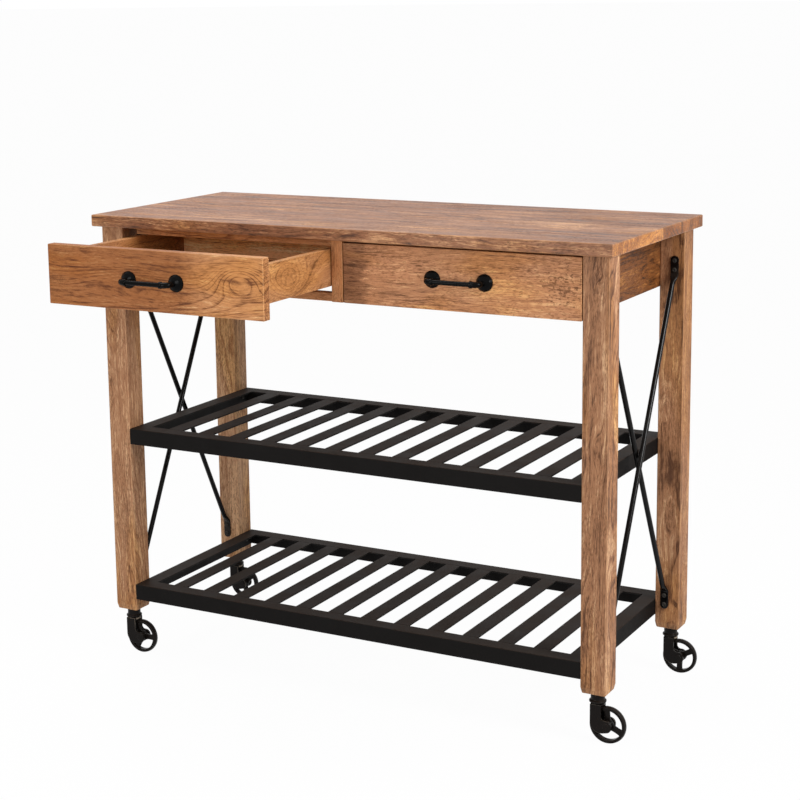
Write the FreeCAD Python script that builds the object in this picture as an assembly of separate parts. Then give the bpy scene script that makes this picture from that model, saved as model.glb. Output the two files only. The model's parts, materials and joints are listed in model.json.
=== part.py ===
import FreeCAD
import Part
import math
import os

# Kitchen cart: a solid wood work table with two drawers, two slatted angle-iron shelves,
# crossed rod braces at both ends and four spoked swivel casters.
# The origin is on the floor below the middle of the worktop. X runs along the cart to the
# right, Y to the back and Z up. All sizes are in millimetres.

# Worktop
top_length = 1100.0
top_depth = 465.0
top_thickness = 23.0
top_edge_ease = 2.0
overhang_end = 12.0
overhang_front = 17.0
overhang_back = 17.0

# Legs
leg_width = 50.0
leg_depth = 48.0
leg_length = 792.0
leg_edge_ease = 2.5
leg_foot_height = 13.0
leg_foot_taper = 2.8

# Aprons, rails and the boards inside the carcass
apron_thickness = 20.0
apron_rise = 6.0
back_apron_setback = 5.0
rail_depth = 20.0
top_rail_height = 16.0
bottom_rail_height = 16.0
bottom_rail_drop = 3.0
stile_width = 24.0
runner_width = 18.0
runner_clearance = 0.4
kicker_width = 18.0
board_edge_ease = 1.0

# Drawers
drawer_front_height = 112.0
drawer_front_thickness = 20.0
drawer_front_top_gap = 5.0
drawer_front_side_gap = 1.5
drawer_front_stop_gap = 1.0
drawer_front_edge_ease = 1.5
drawer_side_thickness = 14.0
drawer_back_thickness = 14.0
drawer_back_clearance = 6.0
drawer_side_clearance = 2.0
drawer_rail_clearance = 16.0
drawer_kicker_clearance = 2.0
drawer_bottom_thickness = 5.0
drawer_bottom_lift = 10.0
groove_depth = 6.0
groove_clearance = 0.2
groove_end_clearance = 0.5
left_drawer_pull_out = 230.0
right_drawer_pull_out = 0.0

# Pulls on the drawer fronts
pull_spacing = 104.0
pull_projection = 30.0
pull_bar_radius = 4.5
pull_elbow_radius = 5.5
pull_collar_radius = 6.5
pull_collar_length = 6.0
pull_bend_radius = 10.0
pull_flange_radius = 16.0
pull_flange_rim = 2.5
pull_flange_height = 10.0
pull_flange_swell = 2.0
pull_screw_engagement = 9.0

# Shelves
lower_shelf_rise = 58.0
middle_shelf_rise = 384.0
angle_width = 32.0
angle_height = 32.0
angle_thickness = 3.0
slat_width = 32.0
slat_count = 12
shelf_screw_drop = 17.0

# Crossed rods
brace_rod_radius = 5.0
brace_rod_gap = 0.6
brace_tab_width = 16.0
brace_tab_length = 36.0
brace_tab_thickness = 3.0
brace_tab_corner = 7.5
brace_flare_length = 18.0
brace_top_drop = 50.0
brace_foot_rise = 42.0
left_brace_top_lift = 40.0
left_brace_foot_lift = 8.0
brace_screw_spacing = 18.0

# Screws
screw_shank_radius = 2.0
screw_head_radius = 4.5
screw_head_height = 2.8
screw_length = 20.0
screw_hole_clearance = 0.1

# Casters
wheel_diameter = 70.0
wheel_width = 11.0
wheel_rim = 7.0
wheel_crown = 1.5
wheel_web = 6.0
hub_radius = 9.0
hub_width = 14.0
hub_side_clearance = 0.3
spoke_width = 14.0
spoke_count = 3
window_corner = 4.0
axle_radius = 4.0
axle_clearance = 0.05
axle_head_radius = 6.5
axle_head_height = 2.5
caster_trail = 20.0
fork_arm_thickness = 4.0
fork_neck_half = 10.5
fork_eye_radius = 11.5
fork_eye_touch = 60.0
fork_cheek_start = 9.0
fork_cheek_reach = 3.5
fork_cheek_depth = 13.0
fork_front_straight = 14.0
crown_radius = 13.0
crown_thickness = 3.5
crown_wheel_gap = 0.3
swivel_clearance = 0.3
pivot_radius = 5.0
pivot_clearance = 0.05
rivet_radius = 6.0
rivet_height = 1.2
collar_radius = 15.8
collar_height = 7.2
collar_bevel = 2.2
neck_radius = 13.0
neck_height = 13.7
caster_pin_radius = 5.0
caster_pin_length = 45.0
caster_pin_clearance = 0.1
front_left_wheel_turn = 0.0
rear_left_wheel_turn = 40.0
front_right_wheel_turn = -25.0
rear_right_wheel_turn = 29.0

# Heights that follow from the sizes above
axle_z = wheel_diameter / 2
crown_bottom = wheel_diameter + crown_wheel_gap
crown_top = crown_bottom + crown_thickness
collar_bottom = crown_top + swivel_clearance
leg_bottom = collar_bottom + collar_height + neck_height
leg_top = leg_bottom + leg_length
drawer_front_top = leg_top - drawer_front_top_gap
drawer_front_bottom = drawer_front_top - drawer_front_height
bottom_rail_bottom = drawer_front_bottom - bottom_rail_drop
bottom_rail_top = bottom_rail_bottom + bottom_rail_height
top_rail_bottom = leg_top - top_rail_height
apron_bottom = drawer_front_bottom + apron_rise
drawer_bottom = bottom_rail_top + drawer_rail_clearance
drawer_top = top_rail_bottom - drawer_kicker_clearance
runner_top = drawer_bottom - runner_clearance

# Planes across the cart, from front to back
front_y = overhang_front - top_depth / 2
back_y = top_depth / 2 - overhang_back
rail_front_y = front_y + drawer_front_thickness + drawer_front_stop_gap
rail_back_y = rail_front_y + rail_depth
back_apron_y = back_y - back_apron_setback - apron_thickness
drawer_back_y = back_apron_y - drawer_back_clearance

# Distances from the middle of the cart, the same to the left and to the right
leg_outer = top_length / 2 - overhang_end
leg_inner = leg_outer - leg_width
leg_middle = leg_outer - leg_width / 2
apron_inner = leg_inner - apron_thickness
stile_half = stile_width / 2

SIDES = {"left": -1, "right": 1}


def vec(x, y, z):
    return FreeCAD.Vector(x, y, z)


def span(side, near, far):
    """The x range between two distances from the middle, on one side of the cart."""
    return tuple(sorted((side * near, side * far)))


def block(x, y, z):
    """A square-edged block from three (low, high) ranges."""
    return Part.makeBox(x[1] - x[0], y[1] - y[0], z[1] - z[0], vec(x[0], y[0], z[0]))


def board(x, y, z, ease=board_edge_ease):
    """A block with all its edges eased, as sawn and sanded wood has them."""
    plain = block(x, y, z)
    return plain.makeChamfer(ease, plain.Edges)


def rod(start, direction, radius, length):
    return Part.makeCylinder(radius, length, start, direction)


def fused(shapes):
    return shapes[0].multiFuse(shapes[1:]).removeSplitter()


def turned(profile, x, y):
    """A solid turned about the upright axis at x, y from (radius, height) points."""
    corners = [vec(x + radius, y, height) for radius, height in profile]
    face = Part.Face(Part.makePolygon(corners + corners[:1]))
    return face.revolve(vec(x, y, 0), vec(0, 0, 1), 360)


def screw(seat, direction, length=screw_length):
    """A pan-head screw whose head stands on the seat, with its shank along direction."""
    head = rod(seat - direction * screw_head_height, direction, screw_head_radius, screw_head_height)
    shank = rod(seat, direction, screw_shank_radius, length)
    return head.fuse(shank).removeSplitter()


def screw_hole(seat, direction, length=screw_length):
    """The clearance hole for a screw, open at the seat and deeper than its tip."""
    radius = screw_shank_radius + screw_hole_clearance
    return rod(seat - direction * screw_head_height, direction, radius,
               length + screw_head_height + screw_hole_clearance)


def worktop():
    x = (-top_length / 2, top_length / 2)
    y = (-top_depth / 2, top_depth / 2)
    return board(x, y, (leg_top, leg_top + top_thickness), top_edge_ease)


def leg_ranges(side, rear):
    x = span(side, leg_inner, leg_outer)
    y = (back_y - leg_depth, back_y) if rear else (front_y, front_y + leg_depth)
    return x, y


def leg_centre(side, rear):
    x, y = leg_ranges(side, rear)
    return sum(x) / 2, sum(y) / 2


def shelf_screw_seats(side, rear):
    """Where the shelf screws of one leg seat, on the inside of the end angle irons."""
    y = leg_centre(side, rear)[1]
    x = side * (leg_inner - angle_thickness)
    rises = (lower_shelf_rise, middle_shelf_rise)
    return [vec(x, y, leg_bottom + rise - shelf_screw_drop) for rise in rises]


def brace_offset(side, rising):
    """The x of a rod: the two of one end pass each other side by side."""
    shift = brace_rod_radius + brace_rod_gap / 2
    return side * leg_middle + (shift if rising else -shift)


def tab_middle(side, at_top):
    """The height of a rod end's middle; the left pair is screwed on a little higher than the right."""
    top_lift, foot_lift = (left_brace_top_lift, left_brace_foot_lift) if side < 0 else (0.0, 0.0)
    if at_top:
        return leg_top - brace_top_drop - brace_tab_length / 2 + top_lift
    return leg_bottom + brace_foot_rise + brace_tab_length / 2 + foot_lift


def brace_screw_seats(side, rear):
    """Where the brace screws of one leg seat, on its top and bottom rod ends."""
    inward = -1 if rear else 1
    y = leg_ranges(side, rear)[1][0 if rear else 1] + inward * brace_tab_thickness
    seats = []
    for at_top in (False, True):
        x = brace_offset(side, rising=(at_top == rear))
        for step in (-0.5, 0.5):
            seats.append(vec(x, y, tab_middle(side, at_top) + step * brace_screw_spacing))
    return seats


def leg_outline(x, y, z, inset):
    """The leg at one height: a rectangle with eased corners, drawn in all round by inset."""
    west, east = x[0] + inset, x[1] - inset
    south, north = y[0] + inset, y[1] - inset
    ease = leg_edge_ease
    corners = [
        (west + ease, south), (east - ease, south), (east, south + ease), (east, north - ease),
        (east - ease, north), (west + ease, north), (west, north - ease), (west, south + ease),
    ]
    points = [vec(*corner, z) for corner in corners]
    return Part.makePolygon(points + points[:1])


def leg(side, rear):
    """A square leg with a tapered foot, and holes for the caster pin and for its screws."""
    x, y = leg_ranges(side, rear)
    outlines = [
        leg_outline(x, y, leg_bottom, leg_foot_taper),
        leg_outline(x, y, leg_bottom + leg_foot_height, 0),
        leg_outline(x, y, leg_top, 0),
    ]
    stick = Part.makeLoft(outlines, True, True)
    centre = leg_centre(side, rear)
    bore_depth = caster_pin_length + caster_pin_clearance
    bore = rod(vec(*centre, leg_bottom), vec(0, 0, 1), caster_pin_radius + caster_pin_clearance, bore_depth)
    holes = [screw_hole(seat, vec(side, 0, 0)) for seat in shelf_screw_seats(side, rear)]
    into_leg = vec(0, 1 if rear else -1, 0)
    holes += [screw_hole(seat, into_leg) for seat in brace_screw_seats(side, rear)]
    return stick.cut([bore] + holes)


def side_apron(side):
    x = span(side, apron_inner, leg_inner)
    return board(x, (rail_front_y, back_apron_y), (apron_bottom, leg_top))


def back_apron():
    y = (back_apron_y, back_apron_y + apron_thickness)
    return board((-leg_inner, leg_inner), y, (apron_bottom, leg_top))


def front_rail(z):
    return board((-apron_inner, apron_inner), (rail_front_y, rail_back_y), z)


def centre_stile():
    """The post between the drawers: it laps the top and bottom rails, which run through behind it."""
    x = (-stile_half, stile_half)
    y = (rail_front_y, rail_back_y)
    post = board(x, (front_y, rail_back_y), (drawer_front_bottom, leg_top))
    notches = [block(x, y, (top_rail_bottom, leg_top)), block(x, y, (drawer_front_bottom, bottom_rail_top))]
    return post.cut(notches)


def partition():
    return board((-stile_half, stile_half), (rail_back_y, back_apron_y), (apron_bottom, leg_top))


def drawer_guide(side, outer, width, z):
    """A strip along the carcass beside the apron (outer) or beside the partition."""
    x = span(side, apron_inner - width, apron_inner) if outer else span(side, stile_half, stile_half + width)
    return board(x, (rail_back_y, back_apron_y), z)


def bottom_groove(x, y):
    """The room that the drawer bottom takes in the boards round it, with its clearance."""
    z = (drawer_bottom + drawer_bottom_lift - groove_clearance,
         drawer_bottom + drawer_bottom_lift + drawer_bottom_thickness + groove_clearance)
    return block(x, y, z)


def drawer(side, pull_out):
    """The boards, pull and screws of one drawer, drawn out towards the front."""
    outer = apron_inner - drawer_side_clearance
    inner = stile_half + drawer_side_clearance
    face_y = front_y - pull_out
    wall_y = face_y + drawer_front_thickness
    end_y = drawer_back_y - pull_out
    back_y_range = (end_y - drawer_back_thickness, end_y)
    height = (drawer_bottom, drawer_top)
    inside_x = span(side, inner + drawer_side_thickness, outer - drawer_side_thickness)
    groove_x = (inside_x[0] - groove_depth, inside_x[1] + groove_depth)
    groove_y = (wall_y - groove_depth, back_y_range[0] + groove_depth)
    groove = bottom_groove(groove_x, groove_y)

    front_x = span(side, stile_half + drawer_front_side_gap, leg_inner - drawer_front_side_gap)
    front_z = (drawer_front_bottom, drawer_front_top)
    front = board(front_x, (face_y, wall_y), front_z, drawer_front_edge_ease)
    pull_at = vec(sum(front_x) / 2, face_y, sum(front_z) / 2)
    seats = [vec(pull_at.x + step * pull_spacing, wall_y, pull_at.z) for step in (-0.5, 0.5)]
    length = drawer_front_thickness + pull_screw_engagement
    outward = vec(0, -1, 0)
    holes = [screw_hole(seat, outward, length) for seat in seats]

    inner_side = board(span(side, inner, inner + drawer_side_thickness), (wall_y, end_y), height)
    outer_side = board(span(side, outer - drawer_side_thickness, outer), (wall_y, end_y), height)
    back = board(inside_x, back_y_range, height)
    play = groove_end_clearance
    panel = block((groove_x[0] + play, groove_x[1] - play), (groove_y[0] + play, groove_y[1] - play),
                  (drawer_bottom + drawer_bottom_lift,
                   drawer_bottom + drawer_bottom_lift + drawer_bottom_thickness))
    return {
        "front": front.cut([groove] + holes),
        "inner_side": inner_side.cut(groove),
        "outer_side": outer_side.cut(groove),
        "back": back.cut(groove),
        "bottom": panel,
        "pull": pull(pull_at).cut(holes),
        "pull_screws": Part.makeCompound([screw(seat, outward, length) for seat in seats]),
    }


def pull(at):
    """A cast bar pull: two domed flanges, posts that bend into a bar, and collars."""
    shapes = []
    half = pull_spacing / 2
    bend_height = pull_projection - pull_bend_radius
    for side in (-1, 1):
        foot = vec(side * half, 0, 0)
        shapes.append(pull_flange().translated(foot))
        shapes.append(rod(foot, vec(0, 0, 1), pull_elbow_radius, bend_height))
        ring = Part.Face(Part.Wire(Part.makeCircle(pull_elbow_radius, vec(side * half, 0, bend_height))))
        pivot = vec(side * (half - pull_bend_radius), 0, bend_height)
        shapes.append(ring.revolve(pivot, vec(0, -side, 0), 90))
        bar_end = vec(side * (half - pull_bend_radius), 0, pull_projection)
        shapes.append(rod(bar_end, vec(-side, 0, 0), pull_collar_radius, pull_collar_length))
    bar_start = vec(pull_bend_radius - half, 0, pull_projection)
    bar_length = pull_spacing - 2 * pull_bend_radius
    shapes.append(rod(bar_start, vec(1, 0, 0), pull_bar_radius, bar_length))
    handle = fused(shapes)
    handle.rotate(vec(0, 0, 0), vec(1, 0, 0), 90)
    handle.translate(at)
    return handle


def pull_flange():
    """A round foot with an upright rim and a domed top that runs into the post."""
    rim = vec(pull_flange_radius, 0, pull_flange_rim)
    neck = vec(pull_elbow_radius, 0, pull_flange_height)
    swell = (rim + neck) * 0.5 + vec(1, 0, 1) * pull_flange_swell
    foot = vec(pull_flange_radius, 0, 0)
    middle = vec(0, 0, 0)
    crown = vec(0, 0, pull_flange_height)
    edges = [
        Part.LineSegment(middle, foot).toShape(),
        Part.LineSegment(foot, rim).toShape(),
        Part.Arc(rim, swell, neck).toShape(),
        Part.LineSegment(neck, crown).toShape(),
        Part.LineSegment(crown, middle).toShape(),
    ]
    return Part.Face(Part.Wire(edges)).revolve(vec(0, 0, 0), vec(0, 0, 1), 360)


def shelf_frame(rise):
    """Four angle irons that meet in mitres, flat side up and upright side out."""
    top = leg_bottom + rise
    x = (-leg_inner, leg_inner)
    y = (front_y, back_y)
    flat_z = (top - angle_thickness, top)
    upright_z = (top - angle_height, top - angle_thickness)
    flat = block(x, y, flat_z).cut(inset_block(x, y, angle_width, flat_z))
    upright = block(x, y, upright_z).cut(inset_block(x, y, angle_thickness, upright_z))
    holes = []
    for side in SIDES.values():
        for rear in (False, True):
            holes += [screw_hole(seat, vec(side, 0, 0)) for seat in shelf_screw_seats(side, rear)]
    ring = fused([flat, upright]).cut(holes)
    outer = [(x[0], y[0]), (x[1], y[0]), (x[1], y[1]), (x[0], y[1])]
    inner = [(px + math.copysign(angle_width, -px), py + math.copysign(angle_width, -py)) for px, py in outer]
    irons = []
    for index in range(4):
        following = (index + 1) % 4
        plan = [outer[index], outer[following], inner[following], inner[index]]
        corners = [vec(*corner, upright_z[0]) for corner in plan]
        wedge = Part.Face(Part.makePolygon(corners + corners[:1])).extrude(vec(0, 0, angle_height))
        irons.append(ring.common(wedge))
    return Part.makeCompound(irons)


def inset_block(x, y, inset, z):
    return block((x[0] + inset, x[1] - inset), (y[0] + inset, y[1] - inset), z)


def shelf_slats(rise):
    """Flat bars from the front angle iron to the back one, evenly spaced, flush on top."""
    top = leg_bottom + rise
    half = leg_inner - angle_width
    gap = (2 * half - slat_count * slat_width) / (slat_count + 1)
    y = (front_y + angle_width, back_y - angle_width)
    bars = []
    for index in range(slat_count):
        left = -half + gap + index * (slat_width + gap)
        bars.append(block((left, left + slat_width), y, (top - angle_thickness, top)))
    return Part.makeCompound(bars)


def brace_tab(side, x, face_y, inward, at_top):
    """The flattened end of a rod: a strip with rounded outer corners, flat on the leg."""
    middle = tab_middle(side, at_top)
    y = tuple(sorted((face_y, face_y + inward * brace_tab_thickness)))
    z = (middle - brace_tab_length / 2, middle + brace_tab_length / 2)
    strip = block((x - brace_tab_width / 2, x + brace_tab_width / 2), y, z)
    outer_z = z[1] if at_top else z[0]
    corners = [edge for edge in strip.Edges if edge.BoundBox.YLength > brace_tab_thickness / 2
               and abs(edge.BoundBox.ZMin - outer_z) < brace_tab_thickness / 2]
    return strip.makeFillet(brace_tab_corner, corners)


def brace_flare(tab_end, tab_normal, round_end, direction):
    """Where the round rod is beaten flat: a skin from the rod's circle to the tab's end."""
    across = vec(1, 0, 0)
    up = direction.cross(across).normalize()
    if up.dot(tab_normal) < 0:
        up = -up
    half_width = across * (brace_tab_width / 2)
    depth = tab_normal * brace_tab_thickness
    flat = [tab_end - half_width, tab_end + half_width,
            tab_end + half_width + depth, tab_end - half_width + depth]
    signs = [(-1, -1), (1, -1), (1, 1), (-1, 1)]
    diagonal = brace_rod_radius / math.sqrt(2)
    round_corners = [round_end + across * (sx * diagonal) + up * (sy * diagonal) for sx, sy in signs]
    bulges = [round_end - up * brace_rod_radius, round_end + across * brace_rod_radius,
              round_end + up * brace_rod_radius, round_end - across * brace_rod_radius]
    arcs = [Part.Arc(round_corners[i], bulges[i], round_corners[(i + 1) % 4]).toShape() for i in range(4)]
    return Part.makeLoft([Part.makePolygon(flat + flat[:1]), Part.Wire(arcs)], True, True)


def brace(side, rising):
    """A round rod with flattened ends, from the front foot up if rising, else from the front top down."""
    x = brace_offset(side, rising)
    front_face = leg_ranges(side, False)[1][1]
    rear_face = leg_ranges(side, True)[1][0]
    reach = brace_tab_length / 2
    front_end = vec(x, front_face, tab_middle(side, not rising) + (reach if rising else -reach))
    rear_end = vec(x, rear_face, tab_middle(side, rising) + (-reach if rising else reach))
    inward = vec(0, 1, 0)
    start = front_end + inward * brace_rod_radius
    end = rear_end - inward * brace_rod_radius
    along = (end - start).normalize()
    rod_start = start + along * brace_flare_length
    rod_end = end - along * brace_flare_length
    shapes = [
        rod(rod_start, along, brace_rod_radius, (rod_end - rod_start).Length),
        brace_flare(front_end, inward, rod_start, along),
        brace_flare(rear_end, -inward, rod_end, along),
        brace_tab(side, x, front_face, 1, not rising),
        brace_tab(side, x, rear_face, -1, rising),
    ]
    holes = [screw_hole(seat, -inward) for seat in brace_screw_seats(side, False)]
    holes += [screw_hole(seat, inward) for seat in brace_screw_seats(side, True)]
    return fused(shapes).cut(holes)


def brace_screws():
    screws = []
    for side in SIDES.values():
        for rear in (False, True):
            into_leg = vec(0, 1 if rear else -1, 0)
            screws += [screw(seat, into_leg) for seat in brace_screw_seats(side, rear)]
    return Part.makeCompound(screws)


def shelf_screws():
    screws = []
    for side in SIDES.values():
        for rear in (False, True):
            screws += [screw(seat, vec(side, 0, 0)) for seat in shelf_screw_seats(side, rear)]
    return Part.makeCompound(screws)


def caster_stem(x, y):
    """The fixed part of a caster: pin in the leg, neck, bulged collar, pivot and its rivet."""
    rivet_top = crown_bottom - swivel_clearance
    neck_bottom = collar_bottom + collar_height
    profile = [
        (0, leg_bottom + caster_pin_length),
        (caster_pin_radius, leg_bottom + caster_pin_length),
        (caster_pin_radius, leg_bottom),
        (neck_radius, leg_bottom),
        (neck_radius, neck_bottom),
        (collar_radius, neck_bottom - collar_bevel),
        (collar_radius, collar_bottom + collar_bevel),
        (crown_radius, collar_bottom),
        (pivot_radius, collar_bottom),
        (pivot_radius, rivet_top),
        (rivet_radius, rivet_top),
        (rivet_radius, rivet_top - rivet_height),
        (0, rivet_top - rivet_height),
    ]
    return turned(profile, x, y)


def tangent_point(centre, radius, point, turn):
    """Where the line from a point touches a circle, on the side that turn (+1 or -1) names."""
    away = point - centre
    angle = math.atan2(away.z, away.x) + turn * math.acos(radius / away.Length)
    return centre + vec(math.cos(angle), 0, math.sin(angle)) * radius


def fork_arm(x, y):
    """A broad cheek: straight behind, one round sweep below, and an eye for the axle in front."""
    eye = vec(x + caster_trail, y, axle_z)
    back_top = vec(x - fork_neck_half, y, crown_top)
    back_low = vec(x - fork_neck_half, y, axle_z + fork_cheek_start)
    sweep = vec(x + fork_cheek_reach, y, axle_z - fork_cheek_depth)
    front_top = vec(x + fork_neck_half, y, crown_top)
    front_low = vec(x + fork_neck_half, y, crown_top - fork_front_straight)
    touch = math.radians(fork_eye_touch)
    low_touch = eye + vec(math.cos(touch), 0, -math.sin(touch)) * fork_eye_radius
    front_touch = tangent_point(eye, fork_eye_radius, front_low, -1)
    eye_front = eye + vec(fork_eye_radius, 0, 0)
    edges = [
        Part.LineSegment(back_top, back_low).toShape(),
        Part.Arc(back_low, sweep, low_touch).toShape(),
        Part.Arc(low_touch, eye_front, front_touch).toShape(),
        Part.LineSegment(front_touch, front_low).toShape(),
        Part.LineSegment(front_low, front_top).toShape(),
        Part.LineSegment(front_top, back_top).toShape(),
    ]
    return Part.Face(Part.Wire(edges)).extrude(vec(0, fork_arm_thickness, 0))


def caster_fork(x, y):
    """Two cheeks under a round crown that turns on the stem's pivot."""
    inside = hub_width / 2 + hub_side_clearance
    crown = rod(vec(x, y, crown_bottom), vec(0, 0, 1), crown_radius, crown_thickness)
    shoulder = block((x - fork_neck_half, x + fork_neck_half),
                     (y - inside - fork_arm_thickness, y + inside + fork_arm_thickness),
                     (crown_bottom, crown_top))
    arms = [fork_arm(x, y + inside), fork_arm(x, y - inside - fork_arm_thickness)]
    body = fused([crown, shoulder] + arms)
    pivot_hole = rod(vec(x, y, crown_bottom), vec(0, 0, 1), pivot_radius + pivot_clearance, crown_thickness)
    return body.cut([pivot_hole, axle_hole(x, y)])


def axle_hole(x, y):
    reach = hub_width / 2 + hub_side_clearance + fork_arm_thickness
    start = vec(x + caster_trail, y - reach, axle_z)
    return rod(start, vec(0, 1, 0), axle_radius + axle_clearance, 2 * reach)


def caster_axle(x, y):
    """A pin through both cheeks and the hub, with a round head at each end."""
    reach = hub_width / 2 + hub_side_clearance + fork_arm_thickness
    start = vec(x + caster_trail, y - reach, axle_z)
    along = vec(0, 1, 0)
    heads = [rod(start, -along, axle_head_radius, axle_head_height)]
    heads.append(rod(start + along * (2 * reach), along, axle_head_radius, axle_head_height))
    return fused([rod(start, along, axle_radius, 2 * reach)] + heads)


def wheel_window(angle):
    """A window between two spokes: an arc by the rim, an arc by the hub, rounded corners."""
    outer = wheel_diameter / 2 - wheel_rim
    inner = hub_radius
    half_gap = math.pi / spoke_count
    wires = []
    for radius in (outer, inner):
        half = half_gap - math.asin(spoke_width / 2 / radius)
        points = [vec(radius * math.cos(angle + step * half), 0, radius * math.sin(angle + step * half))
                  for step in (-1, 0, 1)]
        wires.append(points)
    (outer_start, outer_middle, outer_end), (inner_start, inner_middle, inner_end) = wires
    edges = [
        Part.Arc(outer_start, outer_middle, outer_end).toShape(),
        Part.LineSegment(outer_end, inner_end).toShape(),
        Part.Arc(inner_end, inner_middle, inner_start).toShape(),
        Part.LineSegment(inner_start, outer_start).toShape(),
    ]
    plug = Part.Face(Part.Wire(edges)).extrude(vec(0, wheel_width, 0))
    corners = [e for e in plug.Edges if abs(e.BoundBox.YLength - wheel_width) < 1e-6
               and e.BoundBox.XLength < 1e-3 and e.BoundBox.ZLength < 1e-3]
    plug = plug.makeFillet(window_corner, corners)
    return plug.translated(vec(0, -wheel_width / 2, 0))


def caster_wheel(x, y, turn):
    """A cast wheel: crowned rim, thin web with windows between the spokes, and a hub.

    turn is the angle of one spoke, in degrees up from +X.
    """
    radius = wheel_diameter / 2
    half = wheel_width / 2
    shoulder = vec(0, half, radius - wheel_crown)
    edges = [
        Part.LineSegment(vec(0, -half, radius - wheel_rim), vec(0, -half, radius - wheel_crown)).toShape(),
        Part.Arc(vec(0, -half, radius - wheel_crown), vec(0, 0, radius), shoulder).toShape(),
        Part.LineSegment(shoulder, vec(0, half, radius - wheel_rim)).toShape(),
        Part.LineSegment(vec(0, half, radius - wheel_rim), vec(0, -half, radius - wheel_rim)).toShape(),
    ]
    along = vec(0, 1, 0)
    rim = Part.Face(Part.Wire(edges)).revolve(vec(0, 0, 0), along, 360)
    web = rod(vec(0, -wheel_web / 2, 0), along, radius - wheel_rim, wheel_web)
    spacing = 2 * math.pi / spoke_count
    first = math.radians(turn) + spacing / 2
    web = web.cut([wheel_window(first + index * spacing) for index in range(spoke_count)])
    hub = rod(vec(0, -hub_width / 2, 0), along, hub_radius, hub_width)
    bore = rod(vec(0, -hub_width / 2, 0), along, axle_radius + axle_clearance, hub_width)
    return fused([rim, web, hub]).cut(bore).translated(vec(x + caster_trail, y, axle_z))


def all_nodes():
    """Every piece of the cart by its node name, in the order in which it is put together."""
    nodes = {"worktop": worktop()}
    places = {"front": False, "rear": True}
    for side_name, side in SIDES.items():
        for place, rear in places.items():
            nodes[f"{place}_{side_name}_leg"] = leg(side, rear)
        nodes[f"{side_name}_side_apron"] = side_apron(side)
    nodes["back_apron"] = back_apron()
    nodes["front_top_rail"] = front_rail((top_rail_bottom, leg_top))
    nodes["front_bottom_rail"] = front_rail((bottom_rail_bottom, bottom_rail_top))
    nodes["centre_stile"] = centre_stile()
    nodes["centre_partition"] = partition()
    pull_outs = {"left": left_drawer_pull_out, "right": right_drawer_pull_out}
    for side_name, side in SIDES.items():
        for place, outer in {"inner": False, "outer": True}.items():
            runner_z = (apron_bottom, runner_top)
            kicker_z = (top_rail_bottom, leg_top)
            nodes[f"{side_name}_{place}_runner"] = drawer_guide(side, outer, runner_width, runner_z)
            nodes[f"{side_name}_{place}_kicker"] = drawer_guide(side, outer, kicker_width, kicker_z)
        for piece, shape in drawer(side, pull_outs[side_name]).items():
            nodes[f"{side_name}_drawer_{piece}"] = shape
    for shelf, rise in {"middle": middle_shelf_rise, "lower": lower_shelf_rise}.items():
        nodes[f"{shelf}_shelf_frame"] = shelf_frame(rise)
        nodes[f"{shelf}_shelf_slats"] = shelf_slats(rise)
    nodes["shelf_screws"] = shelf_screws()
    for side_name, side in SIDES.items():
        nodes[f"{side_name}_rising_brace"] = brace(side, True)
        nodes[f"{side_name}_falling_brace"] = brace(side, False)
    nodes["brace_screws"] = brace_screws()
    turns = {
        "front_left": front_left_wheel_turn,
        "rear_left": rear_left_wheel_turn,
        "front_right": front_right_wheel_turn,
        "rear_right": rear_right_wheel_turn,
    }
    for side_name, side in SIDES.items():
        for place, rear in places.items():
            x, y = leg_centre(side, rear)
            corner = f"{place}_{side_name}"
            caster = f"{corner}_caster"
            nodes[f"{caster}_stem"] = caster_stem(x, y)
            nodes[f"{caster}_fork"] = caster_fork(x, y)
            nodes[f"{caster}_axle"] = caster_axle(x, y)
            nodes[f"{caster}_wheel"] = caster_wheel(x, y, turns[corner])
    return nodes


os.makedirs("parts", exist_ok=True)
for node_name, shape in all_nodes().items():
    shape.exportStep(f"parts/{node_name}.step")
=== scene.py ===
import json
import bpy
import numpy as np
from mathutils import Matrix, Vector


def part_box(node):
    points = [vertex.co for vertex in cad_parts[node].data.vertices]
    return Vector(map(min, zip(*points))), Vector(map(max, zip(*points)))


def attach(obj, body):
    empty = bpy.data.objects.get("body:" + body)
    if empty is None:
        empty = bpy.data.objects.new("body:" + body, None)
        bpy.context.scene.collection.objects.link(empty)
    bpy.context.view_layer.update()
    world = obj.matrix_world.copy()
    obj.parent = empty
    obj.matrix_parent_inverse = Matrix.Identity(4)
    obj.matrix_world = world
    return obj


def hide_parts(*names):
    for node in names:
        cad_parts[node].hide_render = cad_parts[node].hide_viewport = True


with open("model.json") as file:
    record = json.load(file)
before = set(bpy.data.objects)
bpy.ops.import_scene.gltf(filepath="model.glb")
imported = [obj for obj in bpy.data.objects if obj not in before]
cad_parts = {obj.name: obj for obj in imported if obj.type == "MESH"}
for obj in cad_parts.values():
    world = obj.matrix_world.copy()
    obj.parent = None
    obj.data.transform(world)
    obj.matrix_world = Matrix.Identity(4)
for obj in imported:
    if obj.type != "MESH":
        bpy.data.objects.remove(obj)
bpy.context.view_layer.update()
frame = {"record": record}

# Legs
# Four square legs, each sawn from one solid piece of a brown hardwood, planed and oiled.
# Their long edges are eased by hand, and their feet are cut in all round above the casters.

record = frame["record"]
body_of_node = {node: body for body, nodes in record["behaviour"]["bodies"].items() for node in nodes}
leg_ease = 0.0025
foot_height = 0.013
foot_cut = 0.0028
foot_blend = 0.015


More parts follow.
